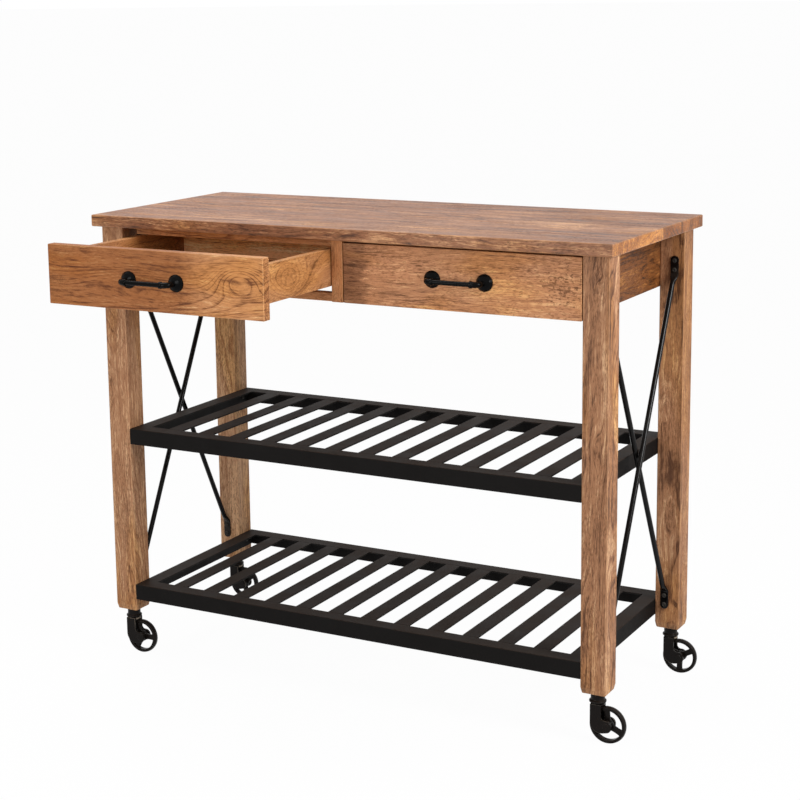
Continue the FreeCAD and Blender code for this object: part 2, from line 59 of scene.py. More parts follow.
def skin(points, normals, edge=0.0, caps=None):
    """A closed skin over a grid: rows run along the piece, columns round it, and the last meets the first.

    One face lies between each four neighbours. Points that coincide are joined, so a row drawn
    together to a point closes an end, and caps names the four columns of a face that closes a row.
    A face that loses one corner by joining becomes a triangle, and one that loses two is dropped.
    Every face corner keeps the normal of its own grid point.
    """
    rows, columns = points.shape[:2]
    index = np.arange(rows * columns).reshape(rows, columns)
    index = np.hstack([index, index[:, :1]])
    faces = np.stack([index[:-1, :-1], index[:-1, 1:], index[1:, 1:], index[1:, :-1]], axis=-1).reshape(-1, 4)
    if caps is not None:
        faces = np.vstack([faces, index[:1, caps][:, ::-1], index[-1:, caps]])
    places = points.reshape(-1, 3)
    _, first, joined = np.unique(np.round(places, 7), axis=0, return_index=True, return_inverse=True)
    corners = joined.reshape(-1)[faces]
    corner_normals = normals.reshape(-1, 3)[faces]
    repeated = corners == np.roll(corners, -1, axis=1)
    losses = repeated.sum(axis=1)
    three_sided = losses == 1
    left = (np.argmax(repeated[three_sided], axis=1)[:, None] + np.arange(1, 4)) % 4
    quads, quad_normals = corners[losses == 0], corner_normals[losses == 0]
    triangles = np.take_along_axis(corners[three_sided], left, axis=1)
    triangle_normals = np.take_along_axis(corner_normals[three_sided], left[..., None], axis=1)
    places = places[first]
    halves = np.vstack([quads[:, [0, 1, 2]], quads[:, [0, 2, 3]], triangles])
    a, b, c = places[halves.T]
    if np.sum(a * np.cross(b, c)) < 0:
        quads, quad_normals = quads[:, ::-1], quad_normals[:, ::-1]
        triangles, triangle_normals = triangles[:, ::-1], triangle_normals[:, ::-1]
    marks = np.broadcast_to(edge, (rows, columns)).reshape(-1)[first]
    up = np.maximum(normals.reshape(-1, 3)[first, 2], 0.0)
    return {"points": places, "edge": marks, "up": up, "quads": quads, "quad_normals": quad_normals,
            "triangles": triangles, "triangle_normals": triangle_normals}


def quarter_round(radius, angle):
    """A rounded rim, at angles from its face (0) to its side (90 degrees).

    Each row has the inset r(1 - sin), the advance r(1 - cos), the corner radius r sin and the angle.
    """
    sine, cosine = np.sin(angle), np.cos(angle)
    return np.stack([radius * (1 - sine), radius * (1 - cosine), radius * sine, angle], 1)


def eased_end(radius, steps=3):
    """A square end eased by a whole quarter circle, from its face inwards."""
    return quarter_round(radius, np.linspace(0, np.pi / 2, steps + 1))


def cut_in_foot(radius, height, cut, blend):
    """A foot that narrows to its end: an eased rim, a straight slope, and an arc into the full leg.

    The slope leans by the angle whose tangent is cut over height. The rim's quarter circle stops at
    the slope, and the arc of radius blend leads from the slope to the upright at that height.
    """
    rows = 4
    lean = np.arctan2(cut, height)
    rim = quarter_round(radius, np.linspace(0, np.pi / 2 - lean, rows))
    bend = np.linspace(np.pi / 2 - lean, np.pi / 2, rows)
    arc = quarter_round(blend, bend)
    arc[:, 1] += height - blend
    arc[:, 2] = radius
    slope = (arc[0, 1] - rim[-1, 1]) * np.tan(lean)
    rim[:, 0] += arc[0, 0] + slope - rim[-1, 0]
    rim[-1, 2] = radius
    return np.vstack([rim, arc])


def stick(low, high, grain_axis, first_end, last_end, seed=0.0, steps=3):
    """A squared stick along one axis, as a rectangle with rounded corners carried from end to end.

    A point is the rectangle's corner, drawn in by the row's inset and radius, plus the radius times
    the direction round the corner. Its normal leans from that direction to the axis by the row's
    angle. The grain is the point's place from the stick's middle: along, across and through.
    """
    low, high = np.array(low), np.array(high)
    middle = (low + high) / 2
    others = sorted({0, 1, 2} - {grain_axis}, key=lambda axis: low[axis] - high[axis])
    half = ((high - low) / 2)[others]
    turn = (np.linspace(0, np.pi / 2, steps + 1) + np.arange(4)[:, None] * np.pi / 2).reshape(-1)
    way = np.stack([np.cos(turn), np.sin(turn)], 1)
    corner = np.repeat([[1, 1], [-1, 1], [-1, -1], [1, -1]], steps + 1, axis=0)
    inset, advance, radius, angle = np.vstack([first_end, last_end[::-1]]).T[:, :, None, None]
    facing = np.repeat([-1.0, 1.0], [len(first_end), len(last_end)])[:, None]
    points = np.empty((len(inset), len(turn), 3))
    points[..., others] = middle[others] + corner * (half - inset - radius) + radius * way
    points[..., grain_axis] = np.where(facing < 0, low[grain_axis] + advance[..., 0],
                                       high[grain_axis] - advance[..., 0])
    normals = np.empty_like(points)
    normals[..., others] = np.sin(angle) * way
    normals[..., grain_axis] = facing * np.cos(angle)[..., 0]
    edge = np.maximum(np.abs(np.sin(2 * turn)), np.sin(2 * angle[..., 0]))
    made = skin(points, normals, edge, caps=np.arange(4) * (steps + 1))
    made["grain"] = (made["points"] - middle)[:, [grain_axis] + others]
    made["seed"] = np.full(len(made["points"]), seed)
    made["end"] = np.isclose(np.abs(made["grain"][:, 0]), (high - low)[grain_axis] / 2).astype(float)
    return made


def add_piece(node, skins, material):
    """One mesh from several skins. It rides on the node's body, takes its slot and stands for the node."""
    starts = np.cumsum([0] + [len(part["points"]) for part in skins])
    quads = np.vstack([part["quads"] + start for part, start in zip(skins, starts)])
    triangles = np.vstack([part["triangles"] + start for part, start in zip(skins, starts)])
    normals = [part[kind].reshape(-1, 3) for kind in ("quad_normals", "triangle_normals") for part in skins]
    mesh = bpy.data.meshes.new(f"{node}_piece")
    points = np.vstack([part["points"] for part in skins])
    mesh.from_pydata(points.tolist(), [], quads.tolist() + triangles.tolist(), shade_flat=False)
    for name in ("grain", "seed", "end", "edge", "up"):
        kind, field = ("FLOAT_VECTOR", "vector") if name == "grain" else ("FLOAT", "value")
        if all(name in part for part in skins):
            values = np.concatenate([part[name] for part in skins]).astype(np.float32)
            mesh.attributes.new(name, kind, "POINT").data.foreach_set(field, values.ravel())
    mesh.normals_split_custom_set(np.vstack(normals).tolist())
    mesh.materials.append(material)
    piece = bpy.data.objects.new(f"{node}_piece", mesh)
    bpy.context.scene.collection.objects.link(piece)
    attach(piece, body_of_node[node])
    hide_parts(node)


def tint(red, green, blue):
    """A colour given in screen values from 0 to 255, as linear light."""
    screen = np.array([red, green, blue]) / 255
    linear = np.where(screen <= 0.04045, screen / 12.92, ((screen + 0.055) / 1.055) ** 2.4)
    return (*linear.tolist(), 1.0)


def place(tree, kind, inputs=None, **settings):
    """Adds a shader node, sets its properties, and gives its inputs values or links by name or number."""
    made = tree.nodes.new("ShaderNode" + kind)
    for name, setting in settings.items():
        setattr(made, name, setting)
    for name, value in (inputs or {}).items():
        if isinstance(value, bpy.types.NodeSocket):
            tree.links.new(value, made.inputs[name])
        else:
            made.inputs[name].default_value = value
    return made


def calc(tree, operation, *values):
    return place(tree, "Math", dict(enumerate(values)), operation=operation).outputs[0]


def times(tree, first, second):
    return calc(tree, "MULTIPLY", first, second)


def minus(tree, first, second):
    return calc(tree, "SUBTRACT", first, second)


def vector(tree, operation, *values):
    return place(tree, "VectorMath", dict(enumerate(values)), operation=operation).outputs[0]


def scaled(tree, way, length):
    return place(tree, "VectorMath", {0: way, "Scale": length}, operation="SCALE").outputs[0]


def total(tree, *terms):
    """The sum of several value and factor pairs, one after the other."""
    result = 0.0
    for value, factor in terms:
        result = calc(tree, "MULTIPLY_ADD", value, factor, result)
    return result


def rise(tree, value, start, end, low=0.0, high=1.0):
    """low before start, high after end, and a smooth step between them."""
    return place(tree, "MapRange", dict(enumerate((value, start, end, low, high))),
                 interpolation_type="SMOOTHSTEP").outputs[0]


def mix(tree, factor, first, second, blend_type="MIX"):
    made = place(tree, "Mix", {0: factor, 6: first, 7: second}, data_type="RGBA", blend_type=blend_type)
    return made.outputs[2]


def new_group(name, inputs, outputs):
    """A shader node group, its sockets named by kind: its tree, what it is given and where results go."""
    tree = bpy.data.node_groups.new(name, "ShaderNodeTree")
    for way, kinds in (("INPUT", inputs), ("OUTPUT", outputs)):
        for kind, names in kinds.items():
            for socket in names:
                tree.interface.new_socket(socket, in_out=way, socket_type="NodeSocket" + kind)
    return tree, tree.nodes.new("NodeGroupInput").outputs, tree.nodes.new("NodeGroupOutput").inputs


def put_out(tree, result, **values):
    """Links a group's results to its outputs of the same names, and gives the finished tree."""
    for name, value in values.items():
        tree.links.new(value, result[name])
    return tree


def apply_group(tree, group, inputs):
    return place(tree, "Group", inputs, node_tree=group).outputs


def noise(tree, position, scale, detail, roughness=0.5, output="Fac"):
    inputs = {"Vector": position, "Scale": scale, "Detail": detail, "Roughness": roughness}
    return place(tree, "TexNoise", inputs).outputs[output]


def seed_noise(tree, seed, output="Color"):
    """Numbers from 0 to 1 that belong to a seed: three as a colour, or one as a value."""
    return place(tree, "TexWhiteNoise", {"W": seed}, noise_dimensions="1D").outputs[output]


def grain_noise(tree, grain, seed, stretch, detail=2.0, roughness=0.5, output="Fac"):
    """Noise over the grain, stretch lumps to the metre each way, at a place of the seed's own."""
    spread = (60.0, 60.0, 60.0)
    stretched = vector(tree, "MULTIPLY", grain, stretch)
    moved = vector(tree, "MULTIPLY_ADD", seed_noise(tree, seed), spread, stretched)
    return noise(tree, moved, 1.0, detail, roughness, output)


def bell_round(tree, grain, centre, reach):
    """A place seen from a centre: the way to it, its distance squared in reaches, and a bell of that."""
    away = vector(tree, "SUBTRACT", grain, centre)
    reached = vector(tree, "DIVIDE", away, reach)
    square = place(tree, "VectorMath", {0: reached, 1: reached}, operation="DOT_PRODUCT").outputs["Value"]
    return away, square, calc(tree, "EXPONENT", times(tree, square, -1.0))


joint_names = ("First Joint", "Second Joint", "Third Joint")
no_joint = 9.0


def make_glued_staves():
    """Boards glued up from staves: past each joint the seed changes, and a thin line marks the joint."""
    seed_step = 11.7
    line_core, line_edge = 0.0003, 0.0010
    tree, given, result = new_group(
        "glued_staves", {"Vector": ["Grain"], "Float": ["Seed", *joint_names]},
        {"Float": ["Seed", "Tone", "Line"]})
    across = place(tree, "SeparateXYZ", {0: given["Grain"]}).outputs["Y"]
    seed = given["Seed"]
    line = 0.0
    for joint in joint_names:
        past = calc(tree, "GREATER_THAN", across, given[joint])
        seed = calc(tree, "MULTIPLY_ADD", past, seed_step, seed)
        distance = calc(tree, "ABSOLUTE", minus(tree, across, given[joint]))
        line = calc(tree, "MAXIMUM", line, rise(tree, distance, line_core, line_edge, 1.0, 0.0))
    tone = minus(tree, seed_noise(tree, seed, "Value"), 0.5)
    return put_out(tree, result, Seed=seed, Tone=tone, Line=line)


def make_knot():
    """A knot in a board, as a bell round its middle that is longer along the grain than across it.

    The bell lifts the growth rings into ovals. The push draws a place towards the knot's middle line
    by a share of its distance, so that the fibres part and pass round the knot.
    """
    parting = (0.0, -0.7, 0.0)
    heart_reach = 0.06
    tree, given, result = new_group(
        "knot", {"Vector": ["Grain", "Centre", "Reach"], "Float": ["Rings"]},
        {"Float": ["Lift", "Heart"], "Vector": ["Push"]})
    away, square, bell = bell_round(tree, given["Grain"], given["Centre"], given["Reach"])
    lift = times(tree, bell, given["Rings"])
    heart = rise(tree, square, 0.0, heart_reach, 1.0, 0.0)
    push = scaled(tree, vector(tree, "MULTIPLY", away, parting), bell)
    return put_out(tree, result, Lift=lift, Heart=heart, Push=push)


def make_wavy_grain():
    """Grain that wanders: noise moves each place sideways, in long waves with shorter ones on them."""
    waves = (((1.9, 9.0, 9.0), 1.0), ((8.0, 20.0, 20.0), 0.25))
    tree, given, result = new_group(
        "wavy_grain", {"Vector": ["Grain"], "Float": ["Seed", "Wander"]}, {"Vector": ["Grain"]})
    bent = given["Grain"]
    for stretch, share in waves:
        drift = grain_noise(tree, given["Grain"], given["Seed"], stretch, 2.0, 0.45, "Color")
        drift = vector(tree, "SUBTRACT", drift, (0.5, 0.5, 0.5))
        drift = scaled(tree, drift, times(tree, given["Wander"], share))
        bent = vector(tree, "ADD", bent, drift)
    return put_out(tree, result, Grain=bent)


def make_growth_rings():
    """Growth rings as distance from a pith that lies below the board and leans along it.

    The distance over the ring spacing, plus a knot's lift and a slow swirl that closes rings into
    loops, counts the rings. Each ring darkens slowly to its late wood and ends sharply. The lines
    fade here and there. Groups of rings differ in tone, and so do fine lines within each ring.
    """
    pith_seed = 3.3
    pith_side, pith_depth, pith_clear = 0.16, 0.09, 0.03
    side_lean, depth_lean = 0.25, 0.20
    late_start, late_end = 0.62, 0.93
    tree, given, result = new_group(
        "growth_rings", {"Vector": ["Grain"], "Float": ["Seed", "Spacing", "Lift", "Swirl"]},
        {"Float": ["Late", "Growth"]})
    grain, seed = given["Grain"], given["Seed"]
    along, across, through = place(tree, "SeparateXYZ", {0: grain}).outputs
    pith = seed_noise(tree, calc(tree, "ADD", seed, pith_seed))
    lean, side, depth = place(tree, "SeparateXYZ", {0: pith}).outputs
    lean = times(tree, minus(tree, lean, 0.5), along)
    side = minus(tree, side, 0.5)
    beside = total(tree, (across, 1.0), (side, pith_side), (lean, side_lean))
    below = total(tree, (through, 1.0), (depth, pith_depth), (lean, depth_lean), (1.0, pith_clear))
    radius = calc(tree, "SQRT", total(tree, (beside, beside), (below, below)))
    swirl = minus(tree, grain_noise(tree, grain, seed, (4.0, 17.0, 17.0), 1.0, 0.35), 0.5)
    count = total(tree, (calc(tree, "DIVIDE", radius, given["Spacing"]), 1.0), (given["Lift"], 1.0),
                  (swirl, given["Swirl"]))
    ring = calc(tree, "FRACT", count)
    late = times(tree, rise(tree, ring, late_start, late_end), rise(tree, ring, late_end, 1.0, 1.0, 0.0))
    fade = rise(tree, grain_noise(tree, grain, seed, (4.0, 26.0, 26.0)), 0.36, 0.58)
    groups = {0: times(tree, count, 0.5), 1: times(tree, along, 3.0), 2: seed}
    growth = noise(tree, place(tree, "CombineXYZ", groups).outputs[0], 1.0, 4.0, 0.7)
    return put_out(tree, result, Late=times(tree, late, fade), Growth=growth)


def make_fibres():
    """The fibre of the wood: streaks, flecks, bands, mottling, slanting curl, golden patches, and pores."""
    slant = (0.0, 0.6, 0.7)
    pore_start, pore_full = 0.72, 0.86
    tree, given, result = new_group(
        "wood_fibres", {"Vector": ["Grain"], "Float": ["Seed"]},
        {"Float": ["Streak", "Fleck", "Band", "Mottle", "Curl", "Gold", "Pores"]})
    grain, seed = given["Grain"], given["Seed"]
    slanted = place(tree, "Mapping", {"Vector": grain, "Rotation": slant}).outputs[0]
    layers = {"Streak": (grain, (6.0, 260.0, 260.0), 2.0, 0.6),
              "Fleck": (grain, (50.0, 520.0, 520.0), 1.0, 0.5),
              "Band": (grain, (1.8, 42.0, 42.0), 3.0, 0.55),
              "Mottle": (grain, (7.0, 24.0, 24.0), 3.0, 0.55),
              "Curl": (slanted, (95.0, 22.0, 22.0), 2.0, 0.55),
              "Gold": (grain, (4.0, 13.0, 13.0), 2.0, 0.5)}
    values = {name: grain_noise(tree, line, seed, *look) for name, (line, *look) in layers.items()}
    dashes = grain_noise(tree, grain, seed, (140.0, 620.0, 620.0), 1.0)
    crowd = grain_noise(tree, grain, seed, (9.0, 30.0, 30.0), 1.0)
    pores = rise(tree, total(tree, (dashes, 1.0), (crowd, 0.4)), pore_start, pore_full)
    return put_out(tree, result, **values, Pores=pores)


glued_staves = make_glued_staves()
knot = make_knot()
wavy_grain = make_wavy_grain()
growth_rings = make_growth_rings()
wood_fibres = make_fibres()


def make_oiled_wood():
    """Oiled wood: a tone from staves, rings and fibre picks a colour between dark, middle and light.

    Golden patches lie over it, pores and glue lines darken it and sink, and edges pale it, partly as
    wear and partly as a painted highlight. End grain takes more oil, so that it is more golden and its
    staves differ more.
    """
    oil_on_end = tint(255, 236, 178)
    no_tint = (1.0, 1.0, 1.0, 1.0)
    glue_depth, edge_wear_and_highlight = 0.6, 0.25
    tree, given, result = new_group(
        "oiled_wood",
        {"Vector": ["Grain", "Flow"], "Color": ["Dark", "Middle", "Light", "Golden"],
         "Float": ["Seed", "Edge", "End", "Tone", "Lift", "Spacing", "Wander", "Swirl", "Ring Depth",
                   "Figure", "Streaks", "Pore Depth", "Golden Ends", "Sheen", *joint_names]},
        {"Color": ["Color"], "Float": ["Roughness", "Height"]})
    stave = apply_group(tree, glued_staves, {name: given[name] for name in ("Grain", "Seed", *joint_names)})
    seed = stave["Seed"]
    wavy = {"Grain": given["Flow"], "Seed": seed, "Wander": given["Wander"]}
    fibrous = {"Grain": apply_group(tree, wavy_grain, wavy)["Grain"], "Seed": seed}
    ringed = {name: given[name] for name in ("Spacing", "Lift", "Swirl")}
    rings = apply_group(tree, growth_rings, {**fibrous, **ringed})
    fibre = apply_group(tree, wood_fibres, fibrous)
    figure = total(tree, (fibre["Band"], 0.7), (fibre["Mottle"], 0.4), (rings["Growth"], 1.9),
                   (fibre["Curl"], 0.4), (1.0, -1.7))
    streaks = total(tree, (fibre["Streak"], 0.7), (fibre["Fleck"], 0.6), (1.0, -0.65))
    stave_depth = calc(tree, "MULTIPLY_ADD", given["End"], 0.5, 0.22)
    golden_end = times(tree, given["End"], given["Golden Ends"])
    tone = total(tree, (figure, given["Figure"]), (times(tree, streaks, given["Streaks"]), 1.0),
                 (stave["Tone"], stave_depth), (given["Tone"], 1.0))
    tone = minus(tree, tone, times(tree, rings["Late"], given["Ring Depth"]))
    colour = mix(tree, rise(tree, tone, 0.0, 0.5), given["Dark"], given["Middle"])
    colour = mix(tree, rise(tree, tone, 0.5, 1.0), colour, given["Light"])
    golden = mix(tree, rise(tree, fibre["Gold"], 0.46, 0.66), no_tint, given["Golden"])
    colour = mix(tree, 1.0, colour, golden, "MULTIPLY")
    colour = mix(tree, golden_end, colour, oil_on_end, "MULTIPLY")
    colour = mix(tree, times(tree, fibre["Pores"], given["Pore Depth"]), colour, given["Dark"])
    colour = mix(tree, times(tree, stave["Line"], glue_depth), colour, given["Dark"])
    # Edges pale towards the light colour: partly wear, partly a painted highlight.
    colour = mix(tree, times(tree, given["Edge"], edge_wear_and_highlight), colour, given["Light"])
    roughness = total(tree, (fibre["Streak"], 0.5), (fibre["Pores"], 0.15), (given["Edge"], 0.05),
                      (given["Sheen"], -1.0), (1.0, 0.30))
    height = total(tree, (fibre["Streak"], 0.6), (fibre["Pores"], -0.6), (stave["Line"], -1.0),
                   (rings["Late"], 0.25))
    return put_out(tree, result, Color=colour, Roughness=roughness, Height=height)


def make_feathered_end():
    """A darker end of a board: a mask past a place along it, with an edge feathered by the fibres."""
    feather_length = 0.08
    tree, given, result = new_group(
        "feathered_end", {"Vector": ["Grain"], "Float": ["Seed", "Place", "Side", "Softness"]},
        {"Float": ["Mask"]})
    along = place(tree, "SeparateXYZ", {0: given["Grain"]}).outputs["X"]
    feather = grain_noise(tree, given["Grain"], given["Seed"], (3.0, 90.0, 90.0), 4.0, 0.7)
    past = times(tree, minus(tree, along, given["Place"]), given["Side"])
    past = total(tree, (past, 1.0), (feather, feather_length), (1.0, -feather_length / 2))
    before = times(tree, given["Softness"], -1.0)
    return put_out(tree, result, Mask=rise(tree, past, before, given["Softness"]))


def make_flecks():
    """Dark flecks that crowd round a place on the board and thin out away from it as a bell."""
    crowding = 0.22
    fleck_edge, fleck_core = 0.72, 0.80
    tree, given, result = new_group(
        "flecks", {"Vector": ["Grain", "Centre", "Reach"], "Float": ["Seed"]}, {"Float": ["Mask"]})
    _, _, bell = bell_round(tree, given["Grain"], given["Centre"], given["Reach"])
    specks = grain_noise(tree, given["Grain"], given["Seed"], (130.0, 240.0, 240.0), 2.0, 0.6)
    mask = rise(tree, total(tree, (specks, 1.0), (bell, crowding)), fleck_edge, fleck_core)
    return put_out(tree, result, Mask=mask)


oiled_wood = make_oiled_wood()
feathered_end = make_feathered_end()
flecks = make_flecks()


def new_material(name):
    """A material with nodes: the material, its tree and its Principled shader."""
    material = bpy.data.materials.new(name)
    material.use_nodes = True
    return material, material.node_tree, material.node_tree.nodes["Principled BSDF"]


def attribute(tree, name):
    return place(tree, "Attribute", attribute_name=name).outputs["Fac"]


def finish_surface(tree, principled, colour, coat, bump_strength, bump_depth, shine):
    """Feeds the shader a colour, and from the coat's group its roughness and the bump of its height."""
    bump = {"Height": coat["Height"], "Strength": bump_strength, "Distance": bump_depth}
    tree.links.new(colour, principled.inputs["Base Color"])
    tree.links.new(coat["Roughness"], principled.inputs["Roughness"])
    tree.links.new(place(tree, "Bump", bump).outputs["Normal"], principled.inputs["Normal"])
    principled.inputs["Specular IOR Level"].default_value = shine


golden_patches = tint(255, 246, 214)
fleck_depth = 0.8
grain_bump = 0.35
grain_depth = 0.0006


def wood_material(name, dark, middle, light, tone=0.5, spacing=0.009, wander=0.06, swirl=9.0, ring_depth=0.3,
                  figure=0.7, streaks=0.9, pore_depth=0.45, joints=(), knots=(), darker_end=None, speckled=None,
                  golden_ends=0.0, shine=0.2, sheen=0.0):
    """An oiled wood with its own colours.

    Knots are (centre, reach, rings, heart), a darker end is (place, side, softness, colour), and a
    speckled place is (centre, reach).
    """
    material, tree, principled = new_material(name)
    grain = place(tree, "Attribute", attribute_name="grain").outputs["Vector"]
    seed = attribute(tree, "seed")
    inputs = {"Grain": grain, "Seed": seed, "Edge": attribute(tree, "edge"), "End": attribute(tree, "end"),
              "Tone": tone, "Spacing": spacing, "Wander": wander, "Swirl": swirl, "Ring Depth": ring_depth,
              "Figure": figure, "Streaks": streaks, "Pore Depth": pore_depth, "Golden Ends": golden_ends,
              "Sheen": sheen, "Dark": dark, "Middle": middle, "Light": light, "Golden": golden_patches}
    inputs.update(dict.fromkeys(joint_names, no_joint))
    inputs.update(zip(joint_names, joints))
    flow = grain
    hearts = []
    lifts = []
    for centre, reach, rings, heart in knots:
        eye = apply_group(tree, knot, {"Grain": grain, "Centre": centre, "Reach": reach, "Rings": rings})
        lifts.append((eye["Lift"], 1.0))
        hearts.append((eye["Heart"], heart))
        flow = vector(tree, "ADD", flow, eye["Push"])
    inputs["Flow"] = flow
    if lifts:
        inputs["Lift"] = total(tree, *lifts)
    wood = apply_group(tree, oiled_wood, inputs)
    colour = wood["Color"]
    for mask, heart in hearts:
        colour = mix(tree, times(tree, mask, heart), colour, dark)
    if speckled:
        centre, reach = speckled
        specks = apply_group(tree, flecks, {"Grain": grain, "Seed": seed, "Centre": centre, "Reach": reach})
        colour = mix(tree, times(tree, specks["Mask"], fleck_depth), colour, dark)
    # The board is multiplied by a darker colour past a place along it, with a feathered edge.
    if darker_end:
        along, side, softness, darker_colour = darker_end
        ending = {"Grain": grain, "Seed": seed, "Place": along, "Side": side, "Softness": softness}
        darkened = apply_group(tree, feathered_end, ending)
        colour = mix(tree, darkened["Mask"], colour, darker_colour, "MULTIPLY")
    finish_surface(tree, principled, colour, wood, grain_bump, grain_depth, shine)
    return material


leg_dark, leg_middle, leg_light = tint(84, 52, 33), tint(160, 113, 80), tint(214, 170, 130)
# Per leg: seed, tone, figure and knots. The tones are partly each leg's own wood and partly painted light:
# the left legs, which the lamps light less, are set much lighter than the right ones.
leg_looks = {"front_left": (4.0, 0.74, 0.4, [((0.06, 0.010, -0.02), (0.035, 0.010, 0.04), 1.6, 0.4)]),
             "rear_left": (9.0, 0.80, 0.7, []),
             "front_right": (2.0, 0.41, 1.0, [((0.335, 0.002, -0.024), (0.040, 0.012, 0.03), 2.6, 0.6),
                                              ((0.055, 0.004, -0.024), (0.045, 0.014, 0.03), 2.2, 0.3)]),
             "rear_right": (7.0, 0.48, 0.9, [((0.05, -0.008, -0.024), (0.040, 0.013, 0.03), 2.4, 0.4),
                                             ((-0.16, 0.004, -0.024), (0.040, 0.012, 0.03), 1.8, 0.3)])}
for corner, (seed, tone, figure, knots) in leg_looks.items():
    leg = f"{corner}_leg"
    leg_wood = wood_material(f"{leg}_wood", leg_dark, leg_middle, leg_light, tone, spacing=0.007, swirl=6.0,
                             figure=figure, ring_depth=0.36, streaks=1.3, pore_depth=0.5, knots=knots)
    foot = cut_in_foot(leg_ease, foot_height, foot_cut, foot_blend)
    add_piece(leg, [stick(*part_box(leg), 2, foot, eased_end(leg_ease), seed)], leg_wood)

# Aprons, rails, stile and the boards inside the carcass
# Sawn boards of the same wood between the legs: two side aprons, a back apron, two thin front rails
# and a stile between the drawers. Behind them a partition, runners and kickers guide the drawers.

board_ease = 0.0012
apron_seed = 20.0
guide_seed = 40.0
board_axes = {"left_side_apron": 1, "right_side_apron": 1, "back_apron": 0, "centre_partition": 1}
guide_names = [f"{side}_{where}_{guide}" for side in ("left", "right") for where in ("inner", "outer")
               for guide in ("runner", "kicker")]
apron_wood = wood_material("apron_wood", tint(56, 31, 13), tint(113, 67, 32), tint(168, 115, 64),
                           spacing=0.008, figure=1.0, streaks=1.4)
guide_wood = wood_material("guide_wood", tint(104, 70, 46), tint(168, 122, 84), tint(204, 160, 118),
                           figure=0.5)
stile_wood = wood_material("stile_wood", tint(114, 70, 39), tint(190, 130, 85), tint(218, 164, 116))


def board(low, high, grain_axis, ease, seed, steps=3):
    """A stick with both of its ends eased alike."""
    ends = eased_end(ease, steps)
    return stick(low, high, grain_axis, ends, ends, seed, steps)


def add_board(node, grain_axis, ease, seed, wood, steps=3):
    """A board that fills its node's box."""
    add_piece(node, [board(*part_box(node), grain_axis, ease, seed, steps)], wood)


for step, (node, axis) in enumerate(board_axes.items()):
    add_board(node, axis, board_ease, apron_seed + step, apron_wood)
for step, node in enumerate(guide_names):
    add_board(node, 1, board_ease, guide_seed + step, guide_wood)
for seed, rail in ((23.0, "front_top_rail"), (24.0, "front_bottom_rail")):
    add_board(rail, 0, board_ease, seed, stile_wood)

stile_low, stile_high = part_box("centre_stile")
upper_rail_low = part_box("front_top_rail")[0]
lower_rail_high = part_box("front_bottom_rail")[1]
post_high = (stile_high.x, upper_rail_low.y, stile_high.z)
block_low = (stile_low.x, upper_rail_low.y, lower_rail_high.z)
block_high = (stile_high.x, stile_high.y, upper_rail_low.z)
add_piece("centre_stile", [board(stile_low, post_high, 2, board_ease, 61.0),
                           board(block_low, block_high, 2, board_ease, 62.0)], stile_wood)

# Worktop
# One thick top, edge-glued from four long planks, planed flat, sanded and oiled to a soft sheen.
# Its ends show the planks' end grain, which took more oil and turned golden.

top_ease = 0.0022
top_seed = 43.0
plank_joints = (-0.1425, 0.0135, 0.1095)
top_wood = wood_material(
    "top_wood", tint(66, 38, 24), tint(144, 94, 62), tint(208, 156, 112), tone=0.45, spacing=0.010,
    wander=0.04, swirl=3.0, figure=0.85, streaks=1.6, pore_depth=0.5, joints=plank_joints, golden_ends=1.0,
    shine=0.3, sheen=0.12)
add_board("worktop", 0, top_ease, top_seed, top_wood)

# Shelves
# Each shelf is four angle irons, mitred and welded into a frame, with twelve flat bars welded
# across it flush with the top. All of it has a satin black lacquer, paler brown on its top faces,
# partly from rubbing and partly as a painted sheen.

angle_thickness = 0.003
angle_edge = 0.0008
angle_fillet = 0.002
angle_back = 0.0012
slat_ease = 0.0006
slat_count = 12
shelf_names = ("middle", "lower")


def rounded_path(corners, radii, closed=False, steps=5):
    """Straight runs joined by arcs: the points along them, and the heading at each point.

    At a corner the path leaves its run a tangent length, radius times tan of half the turn, before
    the corner, and the heading then turns evenly. A radius of zero keeps a sharp corner.
    """
    corners = np.array(corners, float)
    runs = np.roll(corners, -1, axis=0) - corners
    headings = np.arctan2(runs[:, 1], runs[:, 0])
    places, directions = [], []
    for index, radius in enumerate(radii):
        if not closed and index in (0, len(corners) - 1):
            places.append(corners[index:index + 1])
            directions.append(headings[[max(index - 1, 0)]])
            continue
        start = headings[index - 1]
        turn = (headings[index] - start + np.pi) % (2 * np.pi) - np.pi
        angles = start + turn * np.linspace(0, 1, steps + 1)
        left = np.stack([-np.sin(angles), np.cos(angles)], 1)
        begin = corners[index] - radius * np.tan(abs(turn) / 2) * np.array([np.cos(start), np.sin(start)])
        places.append(begin + np.sign(turn) * radius * (left[0] - left))
        directions.append(angles)
    return np.vstack(places), np.concatenate(directions)


def sideways(headings):
    """The direction to the right of each heading."""
    return np.stack([np.sin(headings), -np.cos(headings)], 1)


